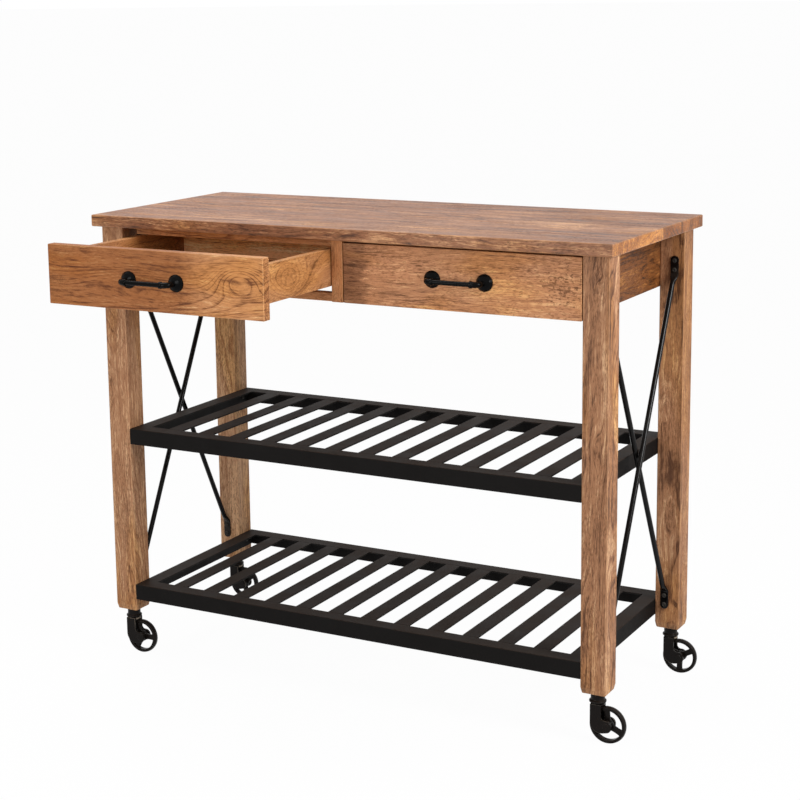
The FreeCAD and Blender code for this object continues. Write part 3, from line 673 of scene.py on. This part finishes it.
def angle_iron_frame(low, high):
    """An L profile carried round a rectangle, mitred at its corners.

    At each corner of the plan a profile point lies its depth inwards along both sides. Each side
    has a row at both of its corners, so that its normals stay its own.
    """
    arm = high.z - low.z
    wall = angle_thickness
    corners = [(0, 0), (-wall, 0), (-wall, arm - wall), (-arm, arm - wall), (-arm, arm), (0, arm)]
    radii = (angle_edge, angle_edge, angle_fillet, angle_edge, angle_edge, angle_back)
    profile, headings = rounded_path(corners, radii, closed=True, steps=3)
    facing = -sideways(headings)
    plan = np.array([(low.x, low.y), (high.x, low.y), (high.x, high.y), (low.x, high.y)])
    inward = np.array([(1, 1), (-1, 1), (-1, -1), (1, -1)])
    outward = np.array([(0, -1), (1, 0), (0, 1), (-1, 0)])
    sides = np.repeat(np.arange(4), 2)
    ends = (sides + np.tile([0, 1], 4)) % 4
    points = np.empty((8, len(profile), 3))
    points[..., :2] = plan[ends][:, None] - inward[ends][:, None] * profile[:, :1]
    points[..., 2] = low.z + profile[:, 1]
    normals = np.empty_like(points)
    normals[..., :2] = outward[sides][:, None] * facing[:, :1]
    normals[..., 2] = facing[:, 1]
    return skin(points, normals, np.abs(np.sin(2 * headings)))


def make_lacquer():
    """Satin black lacquer on steel: a lumpy film, cloudy in its gloss, paler on edges as wear and painted
    highlight, and on top faces as rubbing and painted sheen.
    """
    cloud_scale, speck_scale = 18.0, 700.0
    rub_and_sheen_depth, speck_depth, wear_and_highlight_depth = 0.75, 0.2, 0.6
    tree, given, result = new_group(
        "black_lacquer", {"Vector": ["Position"], "Float": ["Edge", "Up", "Lump Scale", "Gloss"],
                          "Color": ["Film", "Rubbed And Sheen", "Bare And Highlight"]},
        {"Color": ["Color"], "Float": ["Roughness", "Height"]})
    cloud = noise(tree, given["Position"], cloud_scale, 4.0, 0.6)
    lumps = noise(tree, given["Position"], given["Lump Scale"], 2.0)
    specks = noise(tree, given["Position"], speck_scale, 1.0)
    # Edges go towards the bare colour: partly wear, partly a painted highlight.
    worn_and_highlight = times(tree, given["Edge"], rise(tree, cloud, 0.42, 0.62))
    # Top faces take the paler brown: partly rubbing, partly a painted sheen.
    handled_and_sheen = times(tree, given["Up"], rise(tree, cloud, 0.2, 0.7, 0.5, 1.0))
    rub_and_sheen = total(tree, (handled_and_sheen, rub_and_sheen_depth), (rise(tree, specks, 0.66, 0.74), speck_depth))
    colour = mix(tree, rub_and_sheen, given["Film"], given["Rubbed And Sheen"])
    colour = mix(tree, times(tree, worn_and_highlight, wear_and_highlight_depth), colour, given["Bare And Highlight"])
    roughness = total(tree, (cloud, 0.35), (worn_and_highlight, 0.08), (given["Gloss"], -1.0), (1.0, 0.28))
    height = total(tree, (lumps, 1.0), (specks, 0.15))
    return put_out(tree, result, Color=colour, Roughness=roughness, Height=height)


black_lacquer = make_lacquer()
lump_depth = 0.0008


def lacquer_material(name, film, rubbed_and_sheen, bare_and_highlight, lump_scale, bump_strength, shine=0.12, gloss=0.0):
    material, tree, principled = new_material(name)
    position = place(tree, "TexCoord").outputs["Object"]
    coat = apply_group(tree, black_lacquer, {
        "Position": position, "Edge": attribute(tree, "edge"), "Up": attribute(tree, "up"),
        "Lump Scale": lump_scale, "Gloss": gloss, "Film": film, "Rubbed And Sheen": rubbed_and_sheen, "Bare And Highlight": bare_and_highlight})
    finish_surface(tree, principled, coat["Color"], coat, bump_strength, lump_depth, shine)
    return material


# The shelves' paler brown on their top faces is partly rubbing and partly a painted sheen.
shelf_steel = lacquer_material("shelf_steel", tint(17, 15, 14), tint(50, 39, 32), tint(52, 42, 35),
                               lump_scale=240.0, bump_strength=0.12, shine=0.08, gloss=-0.18)
for shelf in shelf_names:
    frame_low, frame_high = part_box(f"{shelf}_shelf_frame")
    add_piece(f"{shelf}_shelf_frame", [angle_iron_frame(frame_low, frame_high)], shelf_steel)
    low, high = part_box(f"{shelf}_shelf_slats")
    slat_width = frame_high.z - frame_low.z
    pitch = (high.x - low.x - slat_width) / (slat_count - 1)
    slats = []
    for number in range(slat_count):
        left = low.x + pitch * number
        right = left + slat_width
        slats.append(board((left, low.y, low.z), (right, high.y, high.z), 1, slat_ease, number, 2))
    add_piece(f"{shelf}_shelf_slats", slats, shelf_steel)

# Shelf screws
# Blackened steel screws with domed pan heads, turned and pressed. Two of them hold each shelf end to
# its legs, driven from inside the angle irons.

screw_head_radius = 0.0045
screw_head_height = 0.0028
screw_shank_radius = 0.002
screw_length = 0.020
screw_rim_height = 0.6 * screw_head_height
screw_crest_radius = 0.5 * screw_head_radius
screw_recess_radius = 0.3 * screw_head_radius
screw_rounds = {"seat": 0.0002, "rim": 0.0012, "crest": 0.0006}
shelf_screw_drop = 0.017


def turned(corners, radii, centre, axis, columns, steps=3, closed=False, wear_and_highlight=0.0):
    """A profile of (radius, height) corners with rounded edges, spun about an axis.

    A point is the centre, plus the radius round the axis and the height along it. Wear marks the
    walls and edges by the sine of the profile's heading, and leaves flat faces alone. The mark pales
    them partly as wear and partly as a painted highlight.
    """
    profile, headings = rounded_path(corners, radii, closed, steps)
    if closed:
        profile = np.vstack([profile, profile[:1]])
        headings = np.append(headings, headings[0])
    axis = np.array(axis, float)
    first = np.roll(axis, 1)
    second = np.cross(axis, first)
    angle = np.linspace(0, 2 * np.pi, columns, endpoint=False)
    spoke = np.cos(angle)[:, None] * first + np.sin(angle)[:, None] * second
    facing = sideways(headings)
    points = np.array(centre) + profile[:, None, :1] * spoke + profile[:, None, 1:] * axis
    normals = facing[:, None, :1] * spoke + facing[:, None, 1:] * axis
    return skin(points, normals, wear_and_highlight * np.abs(np.sin(headings))[:, None])


def pan_head_screw(seat, into, length):
    """A screw turned from its tip to its domed head, which has a shallow recess for the driver."""
    corners = [(0, -length), (screw_shank_radius, -length), (screw_shank_radius, 0), (screw_head_radius, 0),
               (screw_head_radius, screw_rim_height), (screw_crest_radius, screw_head_height),
               (screw_recess_radius, screw_rim_height), (0, screw_rim_height)]
    radii = (0, 0, 0, screw_rounds["seat"], screw_rounds["rim"], screw_rounds["crest"], 0, 0)
    return turned(corners, radii, seat, [-part for part in into], 16)


screw_steel = lacquer_material("screw_steel", tint(40, 37, 34), tint(70, 64, 58), tint(96, 88, 78),
                               lump_scale=500.0, bump_strength=0.1)
shelf_screws = []
for shelf in shelf_names:
    low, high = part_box(f"{shelf}_shelf_frame")
    for side, x in ((-1, low.x + angle_thickness), (1, high.x - angle_thickness)):
        for leg in ("front_left_leg", "rear_left_leg"):
            leg_low, leg_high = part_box(leg)
            seat = (x, (leg_low.y + leg_high.y) / 2, high.z - shelf_screw_drop)
            shelf_screws.append(pan_head_screw(seat, (side, 0, 0), screw_length))
add_piece("shelf_screws", shelf_screws, screw_steel)

# Crossed rods
# Two round steel rods cross at each end of the cart, side by side. Their ends are hammered flat,
# rounded, drilled and screwed to the inner faces of the legs, and all is lacquered black.

rod_radius = 0.005
tab_length = 0.036
tab_width = 0.016
tab_thickness = 0.003
tab_corner = 0.0075
tab_bend = 0.012
tab_squareness = 0.75
# The hammered tabs are marked for the paler edge colour: partly wear, partly a painted highlight.
tab_wear_and_highlight = 0.4
tip_length = 0.006
tab_start = 0.008
flare_length = 0.018
flare_bend = 0.03
brace_screw_spacing = 0.018


def smooth_normals(points):
    """Normals of a smooth grid, from the cross product of its steps along and round."""
    along = np.gradient(points, axis=0)
    wrapped = np.concatenate([points[:, -1:], points, points[:, :1]], axis=1)
    normals = np.cross(wrapped[:, 2:] - wrapped[:, :-2], along)
    return normals / np.maximum(np.linalg.norm(normals, axis=-1, keepdims=True), 1e-12)


def squared(wave, power):
    """A sine or cosine made squarer: its sign, times its size to a power below one."""
    return np.sign(wave) * np.abs(wave) ** power


def close_ends(points, normals, middles=None):
    """Adds a row at each end, drawn together to one point: the one given, or the end row's middle."""
    if middles is None:
        middles = np.repeat(points[[0, -1]].mean(axis=1, keepdims=True), points.shape[1], axis=1)
    points = np.concatenate([middles[:1], points, middles[1:]])
    return points, np.concatenate([normals[:1], normals, normals[-1:]])


def hammered_rod(x, route, columns=24):
    """A rod in a plane across the cart, round in its run and beaten flat at both ends.

    The section is a squared ellipse: its half width, half depth and squareness ease from the tab's
    to the rod's over the flare, and at the tip the width falls away as the tab's rounded corners do.
    """
    path, headings = rounded_path(route, (0, tab_bend, flare_bend, flare_bend, tab_bend, 0), steps=6)
    travel = np.append(0, np.cumsum(np.linalg.norm(np.diff(path, axis=0), axis=1)))
    length = travel[-1]
    tip_rows = np.linspace(0, tip_length, 7)
    end_rows = np.append(tip_rows, np.linspace(tab_start, tab_length + 2 * flare_length, 24))
    run_rows = np.linspace(end_rows[-1], length - end_rows[-1], 12)[1:-1]
    even = np.concatenate([end_rows, run_rows, length - end_rows[::-1]])
    path = np.stack([np.interp(even, travel, path[:, axis]) for axis in (0, 1)], 1)
    side = sideways(np.interp(even, travel, np.unwrap(headings)))
    from_tip = np.minimum(even, length - even)
    flat = 1 - np.clip((from_tip - tab_length) / flare_length, 0, 1)
    flat = flat * flat * (3 - 2 * flat)
    tip = np.clip(1 - from_tip / tab_corner, 0, 1)
    width = rod_radius + flat * (tab_width / 2 - rod_radius) - tab_corner * (1 - np.sqrt(1 - tip * tip))
    depth = rod_radius + flat * (tab_thickness / 2 - rod_radius)
    power = (1 - tab_squareness * flat)[:, None]
    angle = np.linspace(0, 2 * np.pi, columns, endpoint=False)
    points = np.empty((len(even), columns, 3))
    points[..., 0] = x + width[:, None] * squared(np.cos(angle), power)
    out = depth[:, None] * squared(np.sin(angle), power)
    points[..., 1:] = path[:, None] + out[..., None] * side[:, None]
    points, normals = close_ends(points, smooth_normals(points))
    return skin(points, normals, np.pad(flat, 1, mode="edge")[:, None] * tab_wear_and_highlight)


rod_steel = lacquer_material("rod_steel", tint(8, 7, 7), tint(28, 23, 20), tint(60, 52, 46),
                             lump_scale=160.0, bump_strength=0.1, shine=0.13, gloss=0.33)
front_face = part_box("front_left_leg")[1].y
rear_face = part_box("rear_left_leg")[0].y
brace_screws = []
for side in ("left", "right"):
    for lean, up in (("rising", 1), ("falling", -1)):
        node = f"{side}_{lean}_brace"
        low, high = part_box(node)
        x = (low.x + high.x) / 2
        front_tip, rear_tip = (low.z, high.z)[::up]
        front_bend = np.array([front_face + tab_thickness / 2, front_tip + up * tab_length])
        rear_bend = np.array([rear_face - tab_thickness / 2, rear_tip - up * tab_length])
        start = front_bend + (rod_radius - tab_thickness / 2, 0)
        end = rear_bend - (rod_radius - tab_thickness / 2, 0)
        flare = (end - start) / np.linalg.norm(end - start) * flare_length
        route = [(front_bend[0], front_tip), front_bend, start + flare,
                 end - flare, rear_bend, (rear_bend[0], rear_tip)]
        add_piece(node, [hammered_rod(x, route)], rod_steel)
        tabs = ((front_face + tab_thickness, -1, front_tip + up * tab_length / 2),
                (rear_face - tab_thickness, 1, rear_tip - up * tab_length / 2))
        for y, into, tab_middle in tabs:
            for step in (-0.5, 0.5):
                seat = (x, y, tab_middle + step * brace_screw_spacing)
                brace_screws.append(pan_head_screw(seat, (0, into, 0), screw_length))
add_piece("brace_screws", brace_screws, screw_steel)

# Casters
# Four swivel casters of cast iron, painted black: a stem with a bulged collar driven into the leg,
# a fork with two broad cheeks, a riveted axle, and a wheel with three flared spokes.

first_spokes = {"front_left": 0.0, "rear_left": 40.0, "front_right": -25.0, "rear_right": 29.0}
pivot_radius = 0.005
pin_radius = 0.005
pin_edge = 0.0008
neck_radius = 0.013
neck_fillet = 0.0015
collar_height = 0.0072
collar_edge = 0.0005
swell_low = 0.35 * collar_height
swell_high = 0.7 * collar_height
swell_round = 0.0016
crown_radius = 0.013
crown_thickness = 0.0035
crown_edge = 0.0008
# The crown's walls are marked strongly for the paler edge colour: partly wear, partly a painted highlight.
crown_wear_and_highlight = 2.0
rivet_radius = 0.006
rivet_height = 0.0012
rivet_edge = 0.0005
swivel_gap = 0.0003
cheek_thickness = 0.004
cheek_rim = 0.0009
cheek_top = 0.001
neck_half = 0.0105
eye_radius = 0.0105
eye_drop = 0.0100
cheek_drop = 0.0190
cheek_corner = 0.020
cheek_throat = 0.007
shoulder_inset = 0.001
shoulder_ease = 0.0006
axle_radius = 0.004
axle_head_radius = 0.0065
axle_head_height = 0.0025
axle_head_round = 0.0018
rim_depth = 0.007
rim_crown = 0.0015
rim_edge = 0.0012
tread_round = 0.008
wheel_width = 0.011
hub_radius = 0.009
hub_width = 0.014
hub_edge = 0.0015
spoke_waist = 0.011
spoke_thickness = 0.006
spoke_flare = 0.0035
spoke_squareness = 0.5
spoke_in_hub = 0.7 * hub_radius
spoke_in_rim = 0.6 * rim_depth
# The casters' bright bare colour on their edges is partly worn iron and partly a painted highlight.
caster_iron = lacquer_material("caster_iron", tint(22, 18, 16), tint(40, 33, 28), tint(150, 136, 120),
                               lump_scale=420.0, bump_strength=0.25, shine=0.08, gloss=0.2)


def plate(outline, headings, depth, rim, middle):
    """A flat plate: an outline in X and Z carried through its depth in Y, with a rounded rim at both faces.

    At each angle of the rim the outline is drawn in along its normals by rim(1 - sin) and moved by
    rim(1 - cos) from the face. Both faces close on the middle, a point that sees the whole outline.
    """
    facing = sideways(headings)
    rounded = eased_end(rim)
    inset, advance, _, angle = np.vstack([rounded, rounded[::-1]]).T[:, :, None]
    face = np.repeat([-1.0, 1.0], len(rounded))[:, None]
    points = np.empty((len(face), len(outline), 3))
    points[..., [0, 2]] = outline - inset[..., None] * facing
    points[..., 1] = face * (depth / 2 - advance)
    normals = np.empty_like(points)
    normals[..., [0, 2]] = np.sin(angle)[..., None] * facing
    normals[..., 1] = face * np.cos(angle)
    middles = points[[0, -1]]
    middles[..., [0, 2]] = middle
    return *close_ends(points, normals, middles), np.pad(np.sin(2 * angle), ((1, 1), (0, 0)))


def spoke(radius, angle):
    """A flat spoke from the hub to the rim: a squared ellipse whose width flares at both ends.

    The half width grows from the middle by the flare times the fourth power of the distance.
    """
    rows, columns = 14, 20
    reach = np.linspace(spoke_in_hub, radius - spoke_in_rim, rows)[:, None]
    half = spoke_waist / 2 + spoke_flare * np.linspace(-1, 1, rows)[:, None] ** 4
    turn = np.linspace(0, -2 * np.pi, columns, endpoint=False)
    across = half * squared(np.cos(turn), spoke_squareness)
    points = np.empty((rows, columns, 3))
    points[..., 0] = reach * np.cos(angle) - across * np.sin(angle)
    points[..., 1] = spoke_thickness / 2 * squared(np.sin(turn), spoke_squareness)
    points[..., 2] = reach * np.sin(angle) + across * np.cos(angle)
    return close_ends(points, smooth_normals(points))


def barrel(radius, low, high, edge, centre, axis, columns, wear_and_highlight=0.0):
    """A plain turned barrel with both of its edges rounded."""
    corners = [(0, low), (radius, low), (radius, high), (0, high)]
    return turned(corners, (0, edge, edge, 0), centre, axis, columns, wear_and_highlight=wear_and_highlight)


for corner, first_spoke in first_spokes.items():
    stem_low, stem_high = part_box(f"{corner}_caster_stem")
    fork_low, fork_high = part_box(f"{corner}_caster_fork")
    axle_low, axle_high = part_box(f"{corner}_caster_axle")
    wheel_low, wheel_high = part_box(f"{corner}_caster_wheel")
    leg_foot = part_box(f"{corner}_leg")[0].z
    stem = np.array([(stem_low.x + stem_high.x) / 2, (stem_low.y + stem_high.y) / 2, 0])
    collar_radius = (stem_high.x - stem_low.x) / 2
    crown_top = fork_high.z
    crown_bottom = crown_top - crown_thickness
    collar_bottom = crown_top + swivel_gap
    rivet_top = crown_bottom - swivel_gap
    rivet_bottom = rivet_top - rivet_height
    corners = [(0, rivet_bottom), (rivet_radius, rivet_bottom), (rivet_radius, rivet_top),
               (pivot_radius, rivet_top), (pivot_radius, collar_bottom), (crown_radius, collar_bottom),
               (collar_radius, collar_bottom + swell_low), (collar_radius, collar_bottom + swell_high),
               (neck_radius, collar_bottom + collar_height), (neck_radius, leg_foot), (pin_radius, leg_foot),
               (pin_radius, stem_high.z), (0, stem_high.z)]
    radii = (0, rivet_edge, 0, 0, 0, collar_edge, swell_round, swell_round, neck_fillet, 0, 0, pin_edge, 0)
    add_piece(f"{corner}_caster_stem", [turned(corners, radii, stem, (0, 0, 1), 36)], caster_iron)

    axle = np.array((axle_low + axle_high) / 2)
    height = axle[2]
    eye_front = axle[0] - stem[0] + eye_radius
    corners = [(neck_half, crown_top), (-neck_half, crown_top), (-neck_half, height - cheek_drop),
               (eye_front, height - eye_drop), (eye_front, height + eye_radius),
               (neck_half, height + eye_radius)]
    radii = (cheek_top, cheek_top, cheek_corner, eye_radius, eye_radius, cheek_throat)
    outline, headings = rounded_path(corners, radii, closed=True, steps=10)
    points, normals, edge = plate(outline, headings, cheek_thickness, cheek_rim, (0.0, height))
    gap = (fork_high.y - fork_low.y) / 2 - cheek_thickness / 2
    cheeks = [skin(points + stem + (0, step * gap, 0), normals, edge) for step in (-1, 1)]
    crown = barrel(crown_radius, crown_bottom, crown_top, crown_edge, stem, (0, 0, 1), 36, crown_wear_and_highlight)
    shoulder_low = (stem[0] - neck_half, fork_low.y + shoulder_inset, crown_bottom)
    shoulder_high = (stem[0] + neck_half, fork_high.y - shoulder_inset, crown_top)
    ends = eased_end(shoulder_ease, 2)
    shoulder = stick(shoulder_low, shoulder_high, 1, ends, ends)
    add_piece(f"{corner}_caster_fork", cheeks + [crown, shoulder], caster_iron)

    reach = (axle_high.y - axle_low.y) / 2
    inner = reach - axle_head_height
    corners = [(0, -reach), (axle_head_radius, -reach), (axle_head_radius, -inner), (axle_radius, -inner),
               (axle_radius, inner), (axle_head_radius, inner), (axle_head_radius, reach), (0, reach)]
    radii = (0, axle_head_round, 0, 0, 0, 0, axle_head_round, 0)
    add_piece(f"{corner}_caster_axle", [turned(corners, radii, axle, (0, 1, 0), 24, steps=4)], caster_iron)

    radius = (wheel_high.z - wheel_low.z) / 2
    half = wheel_width / 2
    corners = [(radius - rim_depth, -half), (radius - rim_crown, -half), (radius, 0),
               (radius - rim_crown, half), (radius - rim_depth, half)]
    radii = (rim_edge, rim_edge, tread_round, rim_edge, rim_edge)
    rim = turned(corners, radii, axle, (0, 1, 0), 56, steps=4, closed=True)
    parts = [rim, barrel(hub_radius, -hub_width / 2, hub_width / 2, hub_edge, axle, (0, 1, 0), 32)]
    for turn in (0, 120, 240):
        points, normals = spoke(radius, np.radians(first_spoke + turn))
        parts.append(skin(points + axle, normals))
    add_piece(f"{corner}_caster_wheel", parts, caster_iron)

# Drawers
# Two wide drawers on wood runners. Each front is a single figured board; the sides and back are thinner
# boards, and a plywood bottom slides into a groove round them. The left one stands open.

front_ease = 0.0016
panel_ease = 0.0003
# The left front is darker over its left part, by a multiplied colour with a soft feathered edge.
left_front_wood = wood_material(
    "left_front_wood", tint(112, 66, 36), tint(198, 138, 90), tint(240, 194, 142), tone=0.54, spacing=0.007,
    wander=0.04, swirl=2.0, ring_depth=0.34, figure=0.45, streaks=1.4, pore_depth=0.3,
    darker_end=(0.085, -1.0, 0.045, tint(206, 188, 172)),
    knots=[((0.185, 0.012, 0.0), (0.060, 0.038, 1.0), 8.0, 0.0),
           ((-0.02, -0.018, 0.0), (0.13, 0.026, 1.0), 3.0, 0.0)])
# The right front is darker towards its left end, by a multiplied colour with a narrow feathered edge.
right_front_wood = wood_material(
    "right_front_wood", tint(100, 62, 36), tint(188, 131, 92), tint(228, 176, 128), spacing=0.013,
    ring_depth=0.15, streaks=1.6, pore_depth=0.5, darker_end=(-0.192, -1.0, 0.006, tint(198, 193, 190)),
    speckled=((0.205, 0.0, 0.0), (0.06, 0.05, 1.0)))
# The drawer backs are paler and more golden than the other drawer boards: painted light for light falling
# inside the drawers.
back_wood_painted_light = wood_material("back_wood_painted_light", tint(150, 92, 52), tint(240, 172, 118), tint(252, 212, 160),
                          spacing=0.008, streaks=1.3)
box_wood = wood_material("box_wood", tint(106, 66, 38), tint(180, 126, 84), tint(218, 166, 118),
                         spacing=0.008, knots=[((-0.12, 0.0, 0.0), (0.05, 0.035, 1.0), 4.0, 0.0)])
panel_wood = wood_material("panel_wood", tint(120, 80, 50), tint(186, 140, 98), tint(214, 172, 128),
                           figure=0.5, ring_depth=0.1)
fronts = {"left": (left_front_wood, 71.0), "right": (right_front_wood, 82.0)}
for side, (front_wood, seed) in fronts.items():
    add_board(f"{side}_drawer_front", 0, front_ease, seed, front_wood)
    add_board(f"{side}_drawer_inner_side", 1, board_ease, seed + 1, box_wood)
    add_board(f"{side}_drawer_outer_side", 1, board_ease, seed + 2, box_wood)
    add_board(f"{side}_drawer_back", 0, board_ease, seed + 3, back_wood_painted_light)
    add_board(f"{side}_drawer_bottom", 0, panel_ease, seed + 5, panel_wood, steps=1)

# Drawer pulls
# Cast iron pulls on the fronts: two round domed flanges, posts that bend into a bar, and a collar at each end
# of the bar. Two screws from inside each drawer hold a pull.

pull_bar_radius = 0.0045
pull_post_radius = 0.0055
pull_bend = 0.010
pull_collar_radius = 0.0065
pull_collar_length = 0.006
pull_collar_edge = 0.0015
flange_height = 0.010
flange_rim = 0.0025
dome_height = 0.7 * flange_height
dome_share = 0.75
flange_rounds = {"back": 0.0004, "rim": 0.0010, "dome": 0.004, "post": 0.0005}
pull_screw_reach = 0.009
pull_iron = lacquer_material("pull_iron", tint(5, 5, 5), tint(20, 18, 17), tint(90, 82, 74),
                             lump_scale=420.0, bump_strength=0.2, shine=0.06, gloss=0.33)


def tube(path, headings, radius, lift, columns=20):
    """A round tube along a path in the plane of X and Y: a circle of the radius across each heading."""
    angle = np.linspace(0, 2 * np.pi, columns, endpoint=False)
    points = np.empty((len(path), columns, 3))
    normals = np.empty_like(points)
    normals[..., :2] = np.cos(angle)[:, None] * sideways(headings)[:, None]
    normals[..., 2] = np.sin(angle)
    points[..., :2] = path[:, None]
    points[..., 2] = lift
    return skin(*close_ends(points + radius * normals, normals))


for side in fronts:
    low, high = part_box(f"{side}_drawer_pull")
    flange_radius = (high.z - low.z) / 2
    lift = (low.z + high.z) / 2
    face = high.y
    bar_y = low.y + pull_collar_radius
    feet = (low.x + flange_radius, high.x - flange_radius)
    route = [(feet[0], face), (feet[0], bar_y), (feet[1], bar_y), (feet[1], face)]
    path, headings = rounded_path(route, (0, pull_bend, pull_bend, 0), steps=8)
    half = len(path) // 2
    bar_ends = (feet[0] + pull_bend, feet[1] - pull_bend)
    bar = np.array([(x, bar_y) for x in bar_ends])
    parts = [tube(path[:half], headings[:half], pull_post_radius, lift),
             tube(path[half:], headings[half:], pull_post_radius, lift),
             tube(bar, np.zeros(2), pull_bar_radius, lift)]
    for x, way in zip(bar_ends, (1, -1)):
        parts.append(barrel(pull_collar_radius, 0, pull_collar_length, pull_collar_edge,
                            (x, bar_y, lift), (way, 0, 0), 24))
    corners = [(0, 0), (flange_radius, 0), (flange_radius, flange_rim),
               (flange_radius * dome_share, dome_height), (pull_post_radius, flange_height),
               (0, flange_height)]
    radii = (0, *flange_rounds.values(), 0)
    for x in feet:
        parts.append(turned(corners, radii, (x, face, lift), (0, -1, 0), 36, steps=4))
    add_piece(f"{side}_drawer_pull", parts, pull_iron)
    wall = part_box(f"{side}_drawer_front")[1].y
    length = wall - face + pull_screw_reach
    screws = [pan_head_screw((x, wall, lift), (0, -1, 0), length) for x in feet]
    add_piece(f"{side}_drawer_pull_screws", screws, screw_steel)

# Studio
# A plain white floor and a white surround, with three soft lamps: one at the right, one in front and
# one overhead. The camera stands where the photograph was taken from.

floor_half = 900.0
floor_grey = (0.8, 0.8, 0.8, 1.0)
floor_roughness = 0.9
floor_glow = 0.97
white = (1.0, 1.0, 1.0, 1.0)
floor_mesh = bpy.data.meshes.new("floor")
floor_corners = [(x * floor_half, y * floor_half, 0) for x, y in ((-1, -1), (1, -1), (1, 1), (-1, 1))]
floor_mesh.from_pydata(floor_corners, [], [(0, 1, 2, 3)])
floor = bpy.data.objects.new("floor", floor_mesh)
bpy.context.scene.collection.objects.link(floor)


def seen_directly(tree):
    """One for rays from the camera, or by way of a gloss or a clear surface, and zero for all other light."""
    path = place(tree, "LightPath").outputs
    seen = calc(tree, "MAXIMUM", path["Is Camera Ray"], path["Is Glossy Ray"])
    return calc(tree, "MAXIMUM", seen, path["Is Transmission Ray"])


floor_material, tree, principled = new_material("floor_white")
principled.inputs["Base Color"].default_value = floor_grey
principled.inputs["Roughness"].default_value = floor_roughness
glow = place(tree, "Emission", {"Color": white, "Strength": 1.0})
share = times(tree, seen_directly(tree), floor_glow)
blend = place(tree, "MixShader", {0: share, 1: principled.outputs[0], 2: glow.outputs[0]})
tree.links.new(blend.outputs[0], tree.nodes["Material Output"].inputs["Surface"])
floor_mesh.materials.append(floor_material)

surround_light = 0.34
world = bpy.data.worlds.new("white_surround")
bpy.context.scene.world = world
world.use_nodes = True
tree = world.node_tree
strength = calc(tree, "MULTIPLY_ADD", seen_directly(tree), 1.0 - surround_light, surround_light)
background = tree.nodes["Background"]
background.inputs["Color"].default_value = white
tree.links.new(strength, background.inputs["Strength"])

lamp_aim = np.array([0.0, 0.0, 0.5])
lamps = {"right_lamp": ((2.2, -0.45, 1.5), 0.8, 43.0), "front_lamp": ((-0.3, -2.3, 1.05), 1.0, 19.5),
         "overhead_lamp": ((-0.8, 0.1, 2.6), 1.2, 31.0)}
for name, (lamp_place, width, power) in lamps.items():
    lamp = bpy.data.lights.new(name, "AREA")
    lamp.energy = power
    lamp.size = width
    lamp_object = bpy.data.objects.new(name, lamp)
    away = np.array(lamp_place) - lamp_aim
    away = away / np.linalg.norm(away)
    lamp_object.location = lamp_place
    lamp_object.rotation_euler = (np.arccos(away[2]), 0.0, np.arctan2(away[1], away[0]) + np.pi / 2)
    bpy.context.scene.collection.objects.link(lamp_object)

camera_place = (1.6445, -3.0199, 1.3152)
camera_azimuth = np.radians(28.352)
camera_elevation = np.radians(10.115)
camera_roll = np.radians(-0.660)
camera_lens = 80.10
camera_sensor = 36.0
camera_shift = -0.10
back = np.array([np.sin(camera_azimuth) * np.cos(camera_elevation),
                 -np.cos(camera_azimuth) * np.cos(camera_elevation), np.sin(camera_elevation)])
right = np.array([np.cos(camera_azimuth), np.sin(camera_azimuth), 0.0])
up = np.cross(back, right)
turned_right = np.cos(camera_roll) * right + np.sin(camera_roll) * up
turned_up = np.cos(camera_roll) * up - np.sin(camera_roll) * right
camera_data = bpy.data.cameras.new("camera")
camera_data.lens = camera_lens
camera_data.sensor_width = camera_sensor
camera_data.shift_y = camera_shift
camera = bpy.data.objects.new("camera", camera_data)
pose = np.eye(4)
pose[:3] = np.stack([turned_right, turned_up, back, camera_place], axis=1)
camera.matrix_world = Matrix(pose.tolist())
bpy.context.scene.collection.objects.link(camera)
bpy.context.scene.camera = camera
bpy.context.scene.view_settings.view_transform = "Standard"
